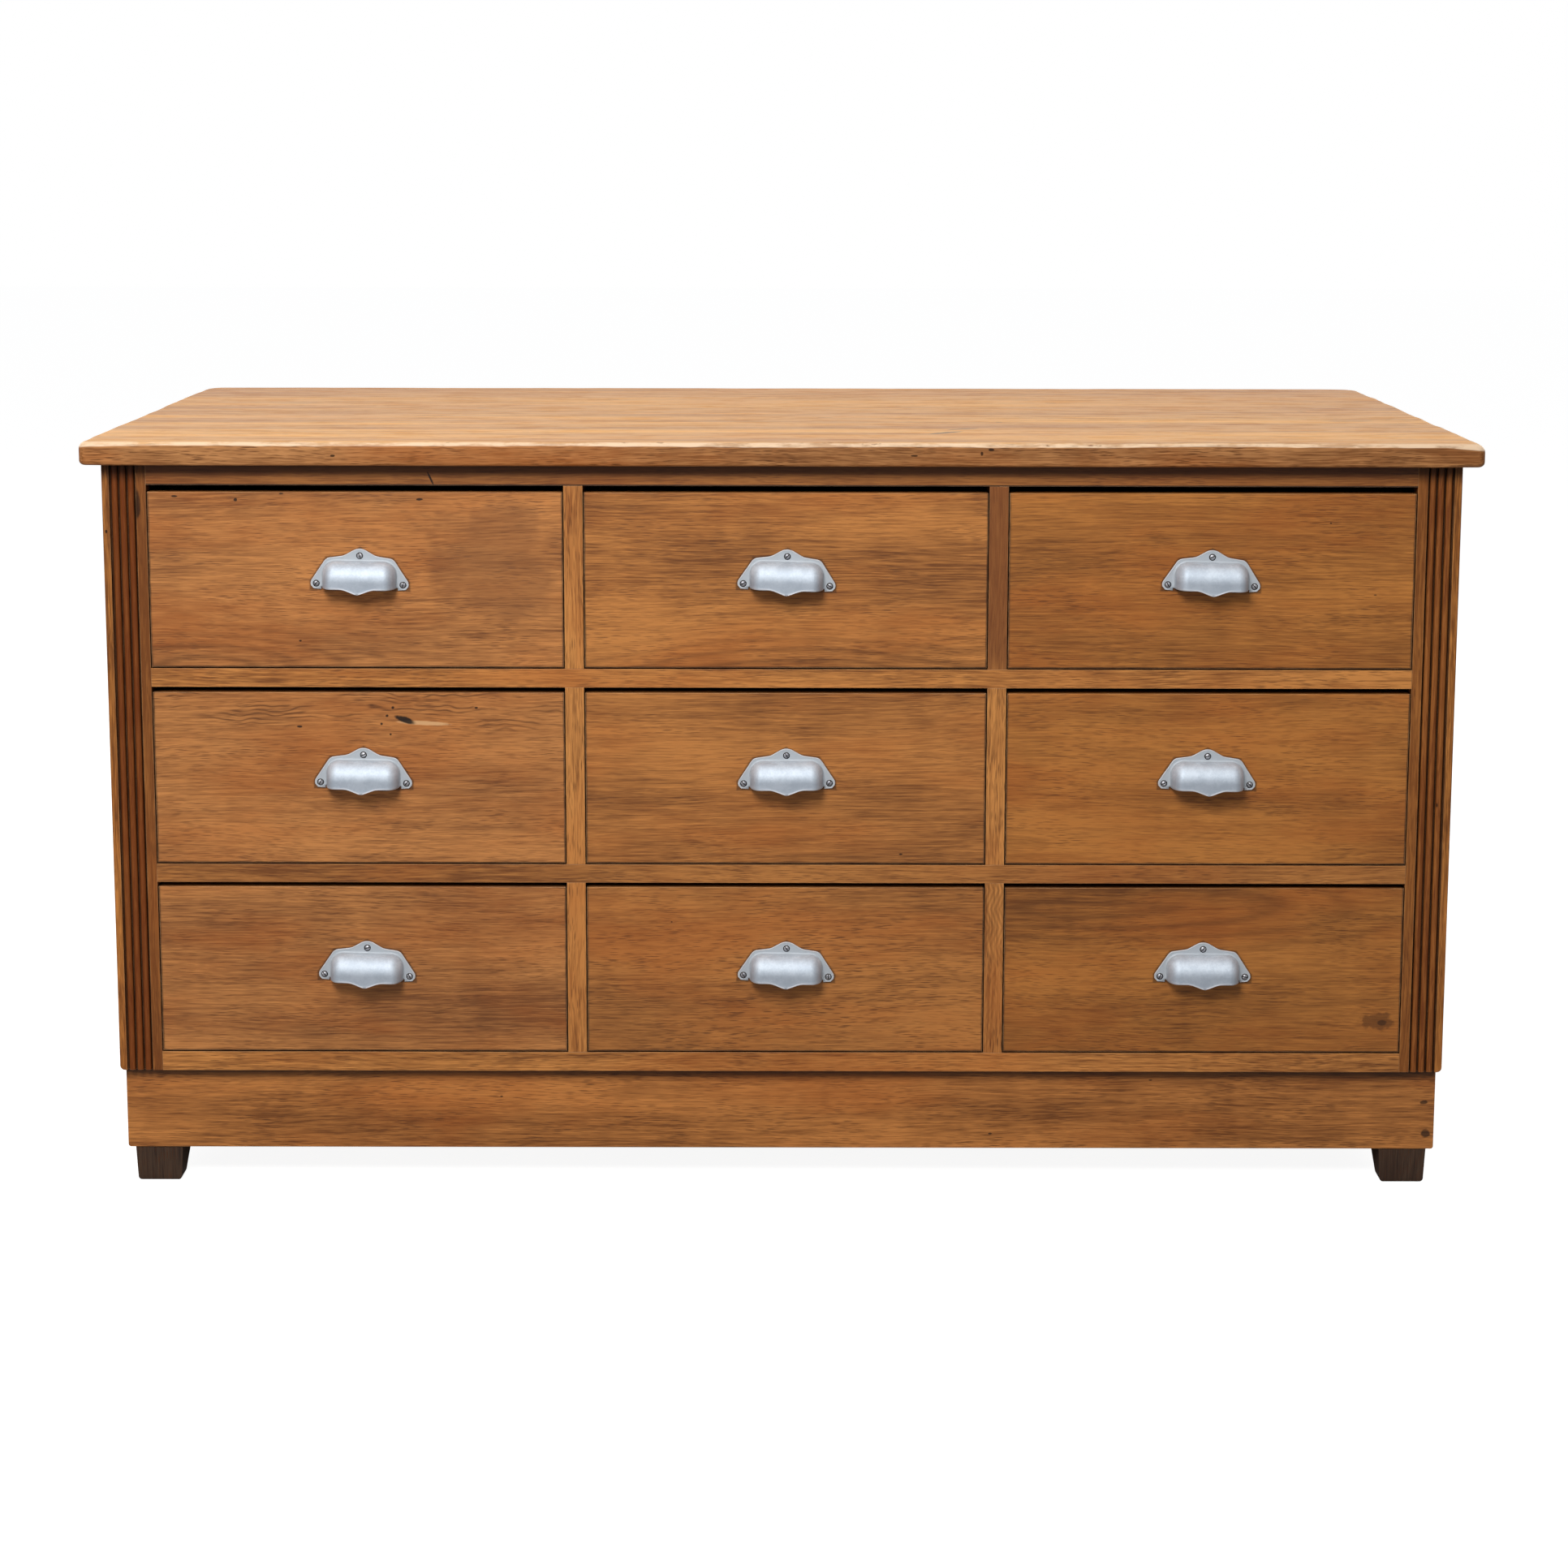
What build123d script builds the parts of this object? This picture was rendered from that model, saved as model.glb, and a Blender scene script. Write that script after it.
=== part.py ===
"""Low wooden chest: nine dovetailed drawers with cup pulls, reeded stiles, a plinth and block feet.

Millimetres. +X runs to the right, the front faces -Y, +Z is up.
The origin is on the floor, under the middle of the whole chest.
"""
import os
from math import cos, radians, sin, tan

from build123d import *

# Heights, from the floor up
foot_height = 38.5
plinth_height = 92.0
bottom_rail_height = 21.5
bottom_row_height = 192.0  # drawer openings
middle_row_height = 196.5
top_row_height = 199.5
middle_rail_height = 20.5
top_rail_height = 23.0
top_thickness = 26.0

# Widths across the front
left_column_width = 448.0  # drawer openings
centre_column_width = 437.0
right_column_width = 439.0
stile_width = 47.5
divider_width = 20.5

# Depth of the carcass, from the face of the stiles to the back of the boards
carcass_depth = 670.0

# Top slab
top_overhang_side = 20.0
top_overhang_front = 20.0
top_overhang_back = 10.0
top_front_corner = 9.0
top_back_corner = 25.0
top_upper_arris = 7.0
top_lower_arris = 4.0

# Sides, with a rebate for the back boards and housings for the rails
side_thickness = 20.0
housing_depth = 6.0
back_rebate = 10.0

# Back boards, lapped over one another
back_thickness = 12.0
back_board_count = 8
board_lap = 8.0
board_gap = 0.8

# Stiles with three reeds
stile_thickness = 22.0
reed_count = 3
reed_radius = 3.6
reed_pitch = 8.8
reed_first = 13.6
reed_depth = 5.0
reed_margin = 1.9
stile_arris = 1.5
stile_foot_corner = 6.0

# Rails and the frames that carry the drawers
rail_depth = 60.0
back_rail_depth = 40.0
runner_reach = 25.0
tongue_length = 8.0
tongue_height = 7.0
guide_height = 24.0
tenon_thickness = 8.0
tenon_length = 6.0
tenon_setback = 8.0
tenon_depth = 36.0
joint_clearance = 0.1

# Stops behind the drawer fronts
stop_length = 40.0
stop_depth = 18.0
stop_height = 5.0
stop_gap = 0.3

# Plinth and feet
plinth_thickness = 20.0
plinth_inset_side = 4.0
plinth_setback = 12.0
corner_block = 40.0
foot_width = 52.0
foot_depth = 60.0
plinth_corner = 3.0
foot_inset_side = 8.0
foot_setback = 1.0
foot_draw = 2.0
foot_tread = 22.0
foot_round = 4.0
foot_heel_round = 14.0

# Drawers
front_thickness = 20.0
front_side_gap = 1.2
front_bottom_gap = 1.5
bottom_row_gap = 5.0  # above the fronts, which have shrunk
middle_row_gap = 5.9
top_row_gap = 7.4
board_thickness = 12.0
box_drop = 5.0
runner_clearance = 0.3
rear_clearance = 12.0
back_inset = 10.0
back_housing = 4.0
dovetail_lap = 14.0
tail_count = 3
pin_width = 8.0
dovetail_slope = 10.0
panel_thickness = 7.0
panel_height = 10.0
groove_depth = 6.0
panel_clearance = 0.3

# Cup pulls, heights counted down from the peak of the plate
pull_drop = 61.0
left_pull_shift = 4.0  # from the middle of each column's fronts
centre_pull_shift = 1.0
right_pull_shift = 0.0
plate_thickness = 1.2
plate_half = 53.0
plate_height = 44.8
plate_peak_slope = 30.0
peak_radius = 14.0
neck_half = 17.4
neck_drop = 7.9
neck_radius = 16.0
shoulder_half = 36.2
shoulder_drop = 10.6
shoulder_radius = 8.5
lobe_height = 8.5
lobe_radius = 6.1
cup_half = 39.5
cup_top = 13.6
cup_projection = 22.0
cup_wall = 1.2
cup_brow_radius = 20.0
cup_corner_radius = 14.0
cup_plan_radius = 12.0
lip_height = 42.0
lip_bend_half = 20.0
lip_scallop_half = 8.5
lip_scallop = 2.8
lip_tip = 5.6
hollow_facets = 3

# Screws of the pulls
screw_sides = 6
screw_head_radius = 3.3
screw_head_height = 1.6
screw_shank_radius = 1.4
screw_length = 12.0
screw_hole_clearance = 0.2
top_screw_drop = 7.6
lobe_screw_half = 46.7
lobe_screw_drop = 38.5

# Columns from left to right and rows from the bottom up
column_names = ("left", "centre", "right")
column_widths = (left_column_width, centre_column_width, right_column_width)
pull_shifts = (left_pull_shift, centre_pull_shift, right_pull_shift)
row_names = ("bottom", "middle", "top")
row_heights = (bottom_row_height, middle_row_height, top_row_height)
front_top_gaps = (bottom_row_gap, middle_row_gap, top_row_gap)

# Planes worked out from the sizes above
plinth_top = foot_height + plinth_height
carcass_half = stile_width + (sum(column_widths) + divider_width * (len(column_widths) - 1)) / 2
front_reach = max(top_overhang_front, cup_projection)
back_reach = carcass_depth + top_overhang_back
face_y = front_reach - (front_reach + back_reach) / 2
stile_back = face_y + stile_thickness
rail_back = face_y + rail_depth
back_y = face_y + carcass_depth
boards_front = back_y - back_thickness
back_rail_front = boards_front - back_rail_depth
side_inner = carcass_half - side_thickness
stile_inner = carcass_half - stile_width
housed_half = side_inner + housing_depth

rail_heights = (bottom_rail_height,) + (middle_rail_height,) * (len(row_heights) - 1) + (top_rail_height,)
rail_spans = []
row_spans = []
level = plinth_top
for rail_index, height in enumerate(rail_heights):
    rail_spans.append((level, level + height))
    level += height
    if rail_index < len(row_heights):
        row_spans.append((level, level + row_heights[rail_index]))
        level += row_heights[rail_index]
carcass_top = level

column_spans = []
divider_spans = []
edge = -stile_inner
for width in column_widths:
    column_spans.append((edge, edge + width))
    edge += width
    if len(column_spans) < len(column_widths):
        divider_spans.append((edge, edge + divider_width))
        edge += divider_width


def block(x_span, y_span, z_span):
    """Box between two planes on each axis."""
    sizes = [high - low for low, high in (x_span, y_span, z_span)]
    middles = [(high + low) / 2 for low, high in (x_span, y_span, z_span)]
    return Pos(*middles) * Box(*sizes)


def slab(points, direction, amount):
    """Flat outline, given as points in space, pushed along a direction."""
    return extrude(make_face(Polyline(*points, close=True)), amount=amount, dir=direction)


def both_hands(piece):
    """A piece and its mirror image across the middle of the chest."""
    return [piece, mirror(piece, about=Plane.YZ)]


def save(node, pieces):
    """Write one node as a STEP file of separate solids."""
    solids = [solid for piece in pieces for solid in piece.solids()]
    export_step(solids[0] if len(solids) == 1 else Compound(children=solids), f"parts/{node}.step")


def outline(points, radii, facets=0):
    """Closed outline with rounded right-angled corners, or flats in place of the curves."""
    if not facets:
        return make_face(FilletPolyline(*points, radius=radii, close=True))
    corners = []
    for index, radius in enumerate(radii):
        corner = Vector(*points[index])
        back = (Vector(*points[index - 1]) - corner).normalized() * radius
        ahead = (Vector(*points[(index + 1) % len(points)]) - corner).normalized() * radius
        angles = [radians(90 * step / facets) for step in range(facets + 1)] if radius else [0]
        corners += [corner + back * (1 - sin(angle)) + ahead * (1 - cos(angle)) for angle in angles]
    return make_face(Polyline(*corners, close=True))


def three_views(x_span, y_span, z_span, plan, front, side, facets=0):
    """Solid whose plan, front and side views are rectangles with the given corner radii.

    The radii of each view go round from the corner that is lowest in both of its axes.
    """
    (left, right), (near, far), (low, high) = x_span, y_span, z_span
    plan_points = [(left, near, low), (right, near, low), (right, far, low), (left, far, low)]
    front_points = [(left, near, low), (right, near, low), (right, near, high), (left, near, high)]
    side_points = [(left, near, low), (left, far, low), (left, far, high), (left, near, high)]
    body = extrude(outline(plan_points, plan, facets), amount=high - low, dir=(0, 0, 1))
    body &= extrude(outline(front_points, front, facets), amount=far - near, dir=(0, 1, 0))
    return body & extrude(outline(side_points, side, facets), amount=right - left, dir=(1, 0, 0))


def make_top():
    """Slab with rounded corners and worn, rounded edges."""
    half = carcass_half + top_overhang_side
    edges = (top_lower_arris, top_lower_arris, top_upper_arris, top_upper_arris)
    return three_views(
        (-half, half),
        (face_y - top_overhang_front, back_y + top_overhang_back),
        (carcass_top, carcass_top + top_thickness),
        plan=(top_front_corner, top_front_corner, top_back_corner, top_back_corner),
        front=edges,
        side=edges,
    )


def make_side():
    """Left side board, with its housings and the rebate for the back boards."""
    body = block((-carcass_half, -side_inner), (stile_back, back_y), (plinth_top, carcass_top))
    body -= block(
        (-side_inner - back_rebate, -side_inner), (boards_front, back_y), (plinth_top, carcass_top)
    )
    for span in rail_spans:
        body -= block((-housed_half, -side_inner), (stile_back, boards_front), span)
    return body


def rectangle(x_span, y_span):
    """Flat rectangle between two lines on each axis of the plan."""
    return Pos(sum(x_span) / 2, sum(y_span) / 2) * Rectangle(x_span[1] - x_span[0], y_span[1] - y_span[0])


def make_stile():
    """Left stile: flat bands beside three round reeds that stand between sunk grooves."""
    reeds = [reed_first - carcass_half + reed_pitch * index for index in range(reed_count)]
    reach = reed_radius + reed_margin
    plan = rectangle((-carcass_half, -stile_inner), (face_y, stile_back))
    plan = fillet(plan.vertices().sort_by(Axis.Y)[:2].sort_by(Axis.X)[0], stile_arris)
    plan -= rectangle((reeds[0] - reach, reeds[-1] + reach), (face_y, face_y + reed_depth))
    for x in reeds:
        plan += Pos(x, face_y + reed_radius) * Circle(reed_radius)
        plan += rectangle((x - reed_radius, x + reed_radius), (face_y + reed_radius, face_y + reed_depth))
    body = Pos(0, 0, plinth_top) * extrude(plan, amount=carcass_top - plinth_top)
    front = FilletPolyline(
        (-carcass_half, stile_back, plinth_top),
        (-stile_inner, stile_back, plinth_top),
        (-stile_inner, stile_back, carcass_top),
        (-carcass_half, stile_back, carcass_top),
        radius=(stile_foot_corner, 0, 0, 0),
        close=True,
    )
    return body & extrude(make_face(front), amount=stile_thickness, dir=(0, -1, 0))


def make_rail(index):
    """Cross rail between the stiles, housed in the sides behind them, grooved at its back edge."""
    low, high = span = rail_spans[index]
    middle = (low + high) / 2
    groove_half = tongue_height / 2 + joint_clearance
    body = block((-stile_inner, stile_inner), (face_y, stile_back), span)
    body += block((-housed_half, housed_half), (stile_back, rail_back), span)
    body -= block(
        (-housed_half, housed_half),
        (rail_back - tongue_length - joint_clearance, rail_back),
        (middle - groove_half, middle + groove_half),
    )
    for divider in divider_spans:
        if index > 0:
            body -= make_tenon(divider, (low, low + tenon_length), joint_clearance)
        if index < len(rail_spans) - 1:
            body -= make_tenon(divider, (high - tenon_length, high), joint_clearance)
    return body


def make_tenon(divider, z_span, clearance):
    """Stub tenon of a divider, or its mortise when it is given a clearance."""
    centre = sum(divider) / 2
    half = tenon_thickness / 2 + clearance
    front = face_y + tenon_setback
    return block(
        (centre - half, centre + half),
        (front - clearance, front + tenon_depth + clearance),
        z_span,
    )


def make_divider(divider, row):
    """Short upright between two rails, with a stub tenon at each end."""
    low, high = row_spans[row]
    reach = tenon_length - joint_clearance
    body = block(divider, (face_y, rail_back), (low, high))
    return body + make_tenon(divider, (low - reach, high + reach), 0.0)


def make_runner_frame(index):
    """Runners of one level and the rail across their back ends."""
    low, high = span = rail_spans[index]
    middle = (low + high) / 2
    tongue = (middle - tongue_height / 2, middle + tongue_height / 2)
    widths = [(-housed_half, -stile_inner + runner_reach), (stile_inner - runner_reach, housed_half)]
    widths += [(left - runner_reach, right + runner_reach) for left, right in divider_spans]
    pieces = []
    for width in widths:
        body = block(width, (rail_back, back_rail_front), span)
        pieces.append(body + block(width, (rail_back - tongue_length, rail_back), tongue))
    return pieces + [block((-housed_half, housed_half), (back_rail_front, boards_front), span)]


def make_guides(row):
    """Strips on the runners that keep the drawers of one row straight."""
    low = row_spans[row][0]
    z_span = (low, low + guide_height)
    outer = block((-side_inner, -stile_inner), (stile_back, boards_front), z_span)
    inner = [block(divider, (rail_back, boards_front), z_span) for divider in divider_spans]
    return both_hands(outer) + inner


def make_stops(column, row):
    """Two blocks on the rail that the drawer front meets when the drawer is shut."""
    left, right = column_spans[column]
    low = row_spans[row][0]
    front = face_y + front_thickness + stop_gap
    half = stop_length / 2
    centres = (left + (right - left) / 4, right - (right - left) / 4)
    return [
        block((x - half, x + half), (front, front + stop_depth), (low, low + stop_height)) for x in centres
    ]


def make_back_boards():
    """Upright boards, each lapped half its thickness over the next."""
    reach = side_inner + back_rebate
    pitch = 2 * reach / back_board_count
    split = (boards_front + back_y) / 2
    z_span = (plinth_top, carcass_top)
    boards = []
    for index in range(back_board_count):
        left = -reach + pitch * index
        right = left + pitch
        first = index == 0
        last = index == back_board_count - 1
        rear = block((left, right if last else right - board_gap), (split, back_y), z_span)
        front = block(
            (left if first else left + board_lap, right if last else right + board_lap - board_gap),
            (boards_front, split),
            z_span,
        )
        boards.append(rear + front)
    return boards


def make_plinth():
    """Four boards on edge with a glued block in each corner."""
    half = carcass_half - plinth_inset_side
    front = face_y + plinth_setback
    z_span = (foot_height, plinth_top)
    inner_front = front + plinth_thickness
    inner_back = back_y - plinth_thickness
    inner_half = half - plinth_thickness
    square = (0, 0, 0, 0)
    ends = (plinth_corner, plinth_corner, 0, 0)
    boards = [
        three_views((-half, half), (front, inner_front), z_span, plan=square, front=ends, side=square),
        block((-half, half), (inner_back, back_y), z_span),
    ]
    boards += both_hands(block((-half, -inner_half), (inner_front, inner_back), z_span))
    for y_span in ((inner_front, inner_front + corner_block), (inner_back - corner_block, inner_back)):
        boards += both_hands(block((-inner_half, corner_block - inner_half), y_span, z_span))
    return boards


def make_feet():
    """Blocks under the corners of the plinth, drawn in at the sides and cut back behind the tread."""
    outer = carcass_half - plinth_inset_side - foot_inset_side
    left, right = -outer, foot_width - outer
    tread = [(left + foot_draw, 0, 0), (right - foot_draw, 0, 0)]
    front = outline(
        tread + [(right, 0, foot_height), (left, 0, foot_height)],
        (foot_round, foot_round, 0, 0),
    )
    side = outline(
        [(left, 0, 0), (left, foot_tread, 0), (left, foot_depth, foot_height), (left, 0, foot_height)],
        (foot_round, foot_heel_round, 0, 0),
    )
    foot = extrude(front, amount=foot_depth, dir=(0, 1, 0))
    foot &= extrude(side, amount=foot_width, dir=(1, 0, 0))
    front_foot = Pos(0, face_y + plinth_setback + foot_setback, 0) * foot
    back_foot = Pos(0, back_y - foot_setback, 0) * mirror(foot, about=Plane.XZ)
    return both_hands(front_foot) + both_hands(back_foot)


def tail_rows(span, base_y, tip_y, clearance=0.0):
    """Dovetails spaced evenly up a board's end, each as four corners (y, z) from low to high."""
    low, high = span
    pitch = (high - low) / tail_count
    tip_half = (pitch - pin_width) / 2 + clearance
    base_half = tip_half - abs(tip_y - base_y) * tan(radians(dovetail_slope))
    centres = [low + pitch * (index + 0.5) for index in range(tail_count)]
    return [
        [(base_y, z - base_half), (tip_y, z - tip_half), (tip_y, z + tip_half), (base_y, z + base_half)]
        for z in centres
    ]


def wedge(outline, x_span):
    """Outline in the side view, pushed across between two planes."""
    left, right = x_span
    return slab([(left, y, z) for y, z in outline], (1, 0, 0), right - left)


class Drawer:
    """Planes of one drawer, in its own x with the middle of the front at zero."""

    def __init__(self, column, row):
        low, high = row_spans[row]
        self.x = sum(column_spans[column]) / 2
        self.half = column_widths[column] / 2 - front_side_gap
        self.inner_half = self.half - board_thickness
        self.groove_half = self.inner_half + groove_depth
        self.front_span = (low + front_bottom_gap, high - front_top_gaps[row])
        self.side_span = (low + runner_clearance, self.front_span[1] - box_drop)
        self.front_back = face_y + front_thickness
        self.rear = boards_front - rear_clearance
        self.back_rear = self.rear - back_inset
        self.back_inner = self.back_rear - board_thickness
        groove_low = self.side_span[0] + panel_height
        self.groove_span = (groove_low, groove_low + panel_thickness + panel_clearance)
        self.wall = (self.inner_half, self.half)

    def front(self):
        """Front board with the blind sockets of the tails and the groove for the bottom."""
        body = block((-self.half, self.half), (face_y, self.front_back), self.front_span)
        groove = (self.front_back - groove_depth, self.front_back)
        body -= block((-self.groove_half, self.groove_half), groove, self.groove_span)
        socket_end = self.front_back - dovetail_lap - joint_clearance
        for outline in tail_rows(self.side_span, self.front_back, socket_end, joint_clearance):
            for socket in both_hands(wedge(outline, self.wall)):
                body -= socket
        return body

    def side(self):
        """Side board with blind tails in front and grooves for the back and the bottom inside."""
        low, high = self.side_span
        tip = self.front_back - dovetail_lap
        points = [(self.front_back, low)]
        for tail in tail_rows(self.side_span, self.front_back, tip):
            points += tail
        points += [(self.front_back, high), (self.rear, high), (self.rear, low)]
        groove = block((self.inner_half, self.groove_half), (tip, self.rear), self.groove_span)
        housing = block(
            (self.inner_half, self.inner_half + back_housing),
            (self.back_inner, self.back_rear),
            (self.groove_span[1], high),
        )
        return wedge(points, self.wall) - groove - housing

    def back(self):
        """Back board that stands on the bottom, housed between the sides."""
        half = self.inner_half + back_housing
        height = (self.groove_span[1], self.side_span[1])
        return block((-half, half), (self.back_inner, self.back_rear), height)

    def bottom(self):
        """Thin board that slides into the grooves from behind, under the back."""
        half = self.groove_half - panel_clearance
        low = self.groove_span[0]
        front = self.front_back - groove_depth + panel_clearance
        return block((-half, half), (front, self.back_rear), (low, low + panel_thickness))


def cup_solid(inset, foot, facets=0):
    """Cup without its hollow; inset by the wall and drawn with flats, it is the hollow itself."""
    half = cup_half - inset
    corner = cup_corner_radius - inset
    plan_corner = cup_plan_radius - inset
    return three_views(
        (-half, half),
        (inset - cup_projection, 0),
        (foot, -cup_top - inset),
        plan=(plan_corner, plan_corner, 0, 0),
        front=(0, 0, corner, corner),
        side=(0, 0, 0, cup_brow_radius - inset),
        facets=facets,
    )


def lip_shape():
    """Everything above the lower lip of the cup, which dips in two steps to a tip in the middle."""
    left = [(-cup_half, 0), (-lip_bend_half, 0), (-lip_scallop_half, lip_scallop)]
    lip = left + [(0, lip_tip)] + [(-x, dip) for x, dip in reversed(left)]
    points = [(x, 0, -lip_height - dip) for x, dip in lip] + [(cup_half, 0, 0), (-cup_half, 0, 0)]
    return slab(points, (0, -1, 0), cup_projection)


def make_pull():
    """Pressed cup pull: a scalloped plate with a thin cup that is open below and behind."""
    foot = -max(plate_height, lip_height + lip_tip) - cup_wall
    left = [
        (-plate_half, -plate_height, lobe_radius),
        (-plate_half, lobe_height - plate_height, lobe_radius),
        (-shoulder_half, -shoulder_drop, shoulder_radius),
        (-neck_half, -neck_drop, neck_radius),
    ]
    apex_rise = neck_half * tan(radians(plate_peak_slope)) - neck_drop
    corners = left + [(0, apex_rise, peak_radius)] + [(-x, z, radius) for x, z, radius in reversed(left)]
    plate = outline([(x, 0, z) for x, z, radius in corners], [radius for x, z, radius in corners])
    body = extrude(plate, amount=plate_thickness, dir=(0, -1, 0))
    body += cup_solid(0, foot) & lip_shape()
    body -= cup_solid(cup_wall, foot, hollow_facets)
    for x, z in screw_places():
        body -= Pos(x, 0, z) * round_bar(screw_shank_radius + screw_hole_clearance, 0, plate_thickness)
    return body


def screw_places():
    """Screws of one pull: one in the peak and one in each lobe."""
    return [(0, -top_screw_drop), (-lobe_screw_half, -lobe_screw_drop), (lobe_screw_half, -lobe_screw_drop)]


def round_bar(radius, start, length):
    """Small round bar that runs forward along -Y, drawn with few sides."""
    end = Plane((0, -start, 0), x_dir=(1, 0, 0), z_dir=(0, -1, 0))
    return extrude(end * RegularPolygon(radius, screw_sides), amount=length)


def make_screw():
    """Screw with its head on the plate, driven back into the drawer front."""
    shank = round_bar(screw_shank_radius, -screw_length, screw_length + plate_thickness)
    return shank + round_bar(screw_head_radius, plate_thickness, screw_head_height)


def main():
    """Build every node and write it to the parts folder."""
    os.makedirs("parts", exist_ok=True)
    side = both_hands(make_side())
    stile = both_hands(make_stile())
    rows = range(len(row_heights))
    columns = range(len(column_widths))
    levels = range(len(rail_spans))
    save("top", [make_top()])
    save("left_side", side[:1])
    save("right_side", side[1:])
    save("left_stile", stile[:1])
    save("right_stile", stile[1:])
    save("bottom_rail", [make_rail(0)])
    save("middle_rails", [make_rail(index) for index in levels[1:-1]])
    save("top_rail", [make_rail(levels[-1])])
    save("front_dividers", [make_divider(divider, row) for divider in divider_spans for row in rows])
    save("runner_frames", [piece for index in levels for piece in make_runner_frame(index)])
    save("drawer_guides", [piece for row in rows for piece in make_guides(row)])
    save("drawer_stops", [piece for column in columns for row in rows for piece in make_stops(column, row)])
    save("back_boards", make_back_boards())
    save("plinth", make_plinth())
    save("feet", make_feet())

    pull = make_pull()
    screw = make_screw()
    for row in rows:
        for column in columns:
            name = f"{row_names[row]}_{column_names[column]}_drawer"
            drawer = Drawer(column, row)
            place = Pos(drawer.x, 0, 0)
            pull_place = Pos(drawer.x + pull_shifts[column], face_y, drawer.front_span[1] - pull_drop)
            save(f"{name}_front", [place * drawer.front()])
            save(f"{name}_box", [place * piece for piece in both_hands(drawer.side()) + [drawer.back()]])
            save(f"{name}_bottom", [place * drawer.bottom()])
            save(f"{name}_pull", [pull_place * pull])
            save(f"{name}_screws", [pull_place * Pos(x, 0, z) * screw for x, z in screw_places()])


main()
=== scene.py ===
"""Low wooden chest with nine drawers: finishes, worn top, pressed cup pulls, studio and camera."""

from math import pi, radians

import bmesh
import bpy
import numpy as np
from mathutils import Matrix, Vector


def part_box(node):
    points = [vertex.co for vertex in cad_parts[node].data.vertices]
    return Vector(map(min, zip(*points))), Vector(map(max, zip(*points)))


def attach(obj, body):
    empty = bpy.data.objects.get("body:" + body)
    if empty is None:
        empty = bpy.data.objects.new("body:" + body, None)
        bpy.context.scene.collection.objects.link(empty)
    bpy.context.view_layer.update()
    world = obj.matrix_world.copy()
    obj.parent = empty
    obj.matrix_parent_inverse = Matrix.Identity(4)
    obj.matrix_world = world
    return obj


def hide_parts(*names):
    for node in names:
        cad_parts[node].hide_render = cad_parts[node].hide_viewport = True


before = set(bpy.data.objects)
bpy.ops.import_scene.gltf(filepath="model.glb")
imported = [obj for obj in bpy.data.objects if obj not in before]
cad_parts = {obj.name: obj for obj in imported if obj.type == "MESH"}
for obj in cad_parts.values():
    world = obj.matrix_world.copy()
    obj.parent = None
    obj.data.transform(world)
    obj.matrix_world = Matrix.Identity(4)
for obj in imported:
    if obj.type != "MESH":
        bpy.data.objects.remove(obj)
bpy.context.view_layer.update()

MM = 0.001
COLUMNS = ("left", "centre", "right")
ROWS = ("top", "middle", "bottom")
DRAWERS = [f"{row}_{column}_drawer" for row in ROWS for column in COLUMNS]
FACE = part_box("bottom_rail")[0].y
TOP_LOW, TOP_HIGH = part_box("top")
ACROSS, BACK, UP = 0, 1, 2
FRONT_VIEW, PLAN_VIEW = (ACROSS, UP), (ACROSS, BACK)
WHITE = (1.0, 1.0, 1.0, 1.0)


# Node mixing


def tint(red, green, blue):
    """Colour written as on a screen, from 0 to 255, in the linear values that shaders take."""
    screen = np.array((red, green, blue)) / 255
    linear = np.where(screen <= 0.04045, screen / 12.92, ((screen + 0.055) / 1.055) ** 2.4)
    return (*map(float, linear), 1.0)


def shade(colour, amount, grey=0.0):
    """Linear colour made lighter or darker by a factor, and taken a share of the way to its own grey."""
    middle = sum(colour[:3]) / 3
    return (*(min((value + (middle - value) * grey) * amount, 1.0) for value in colour[:3]), 1.0)


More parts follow.
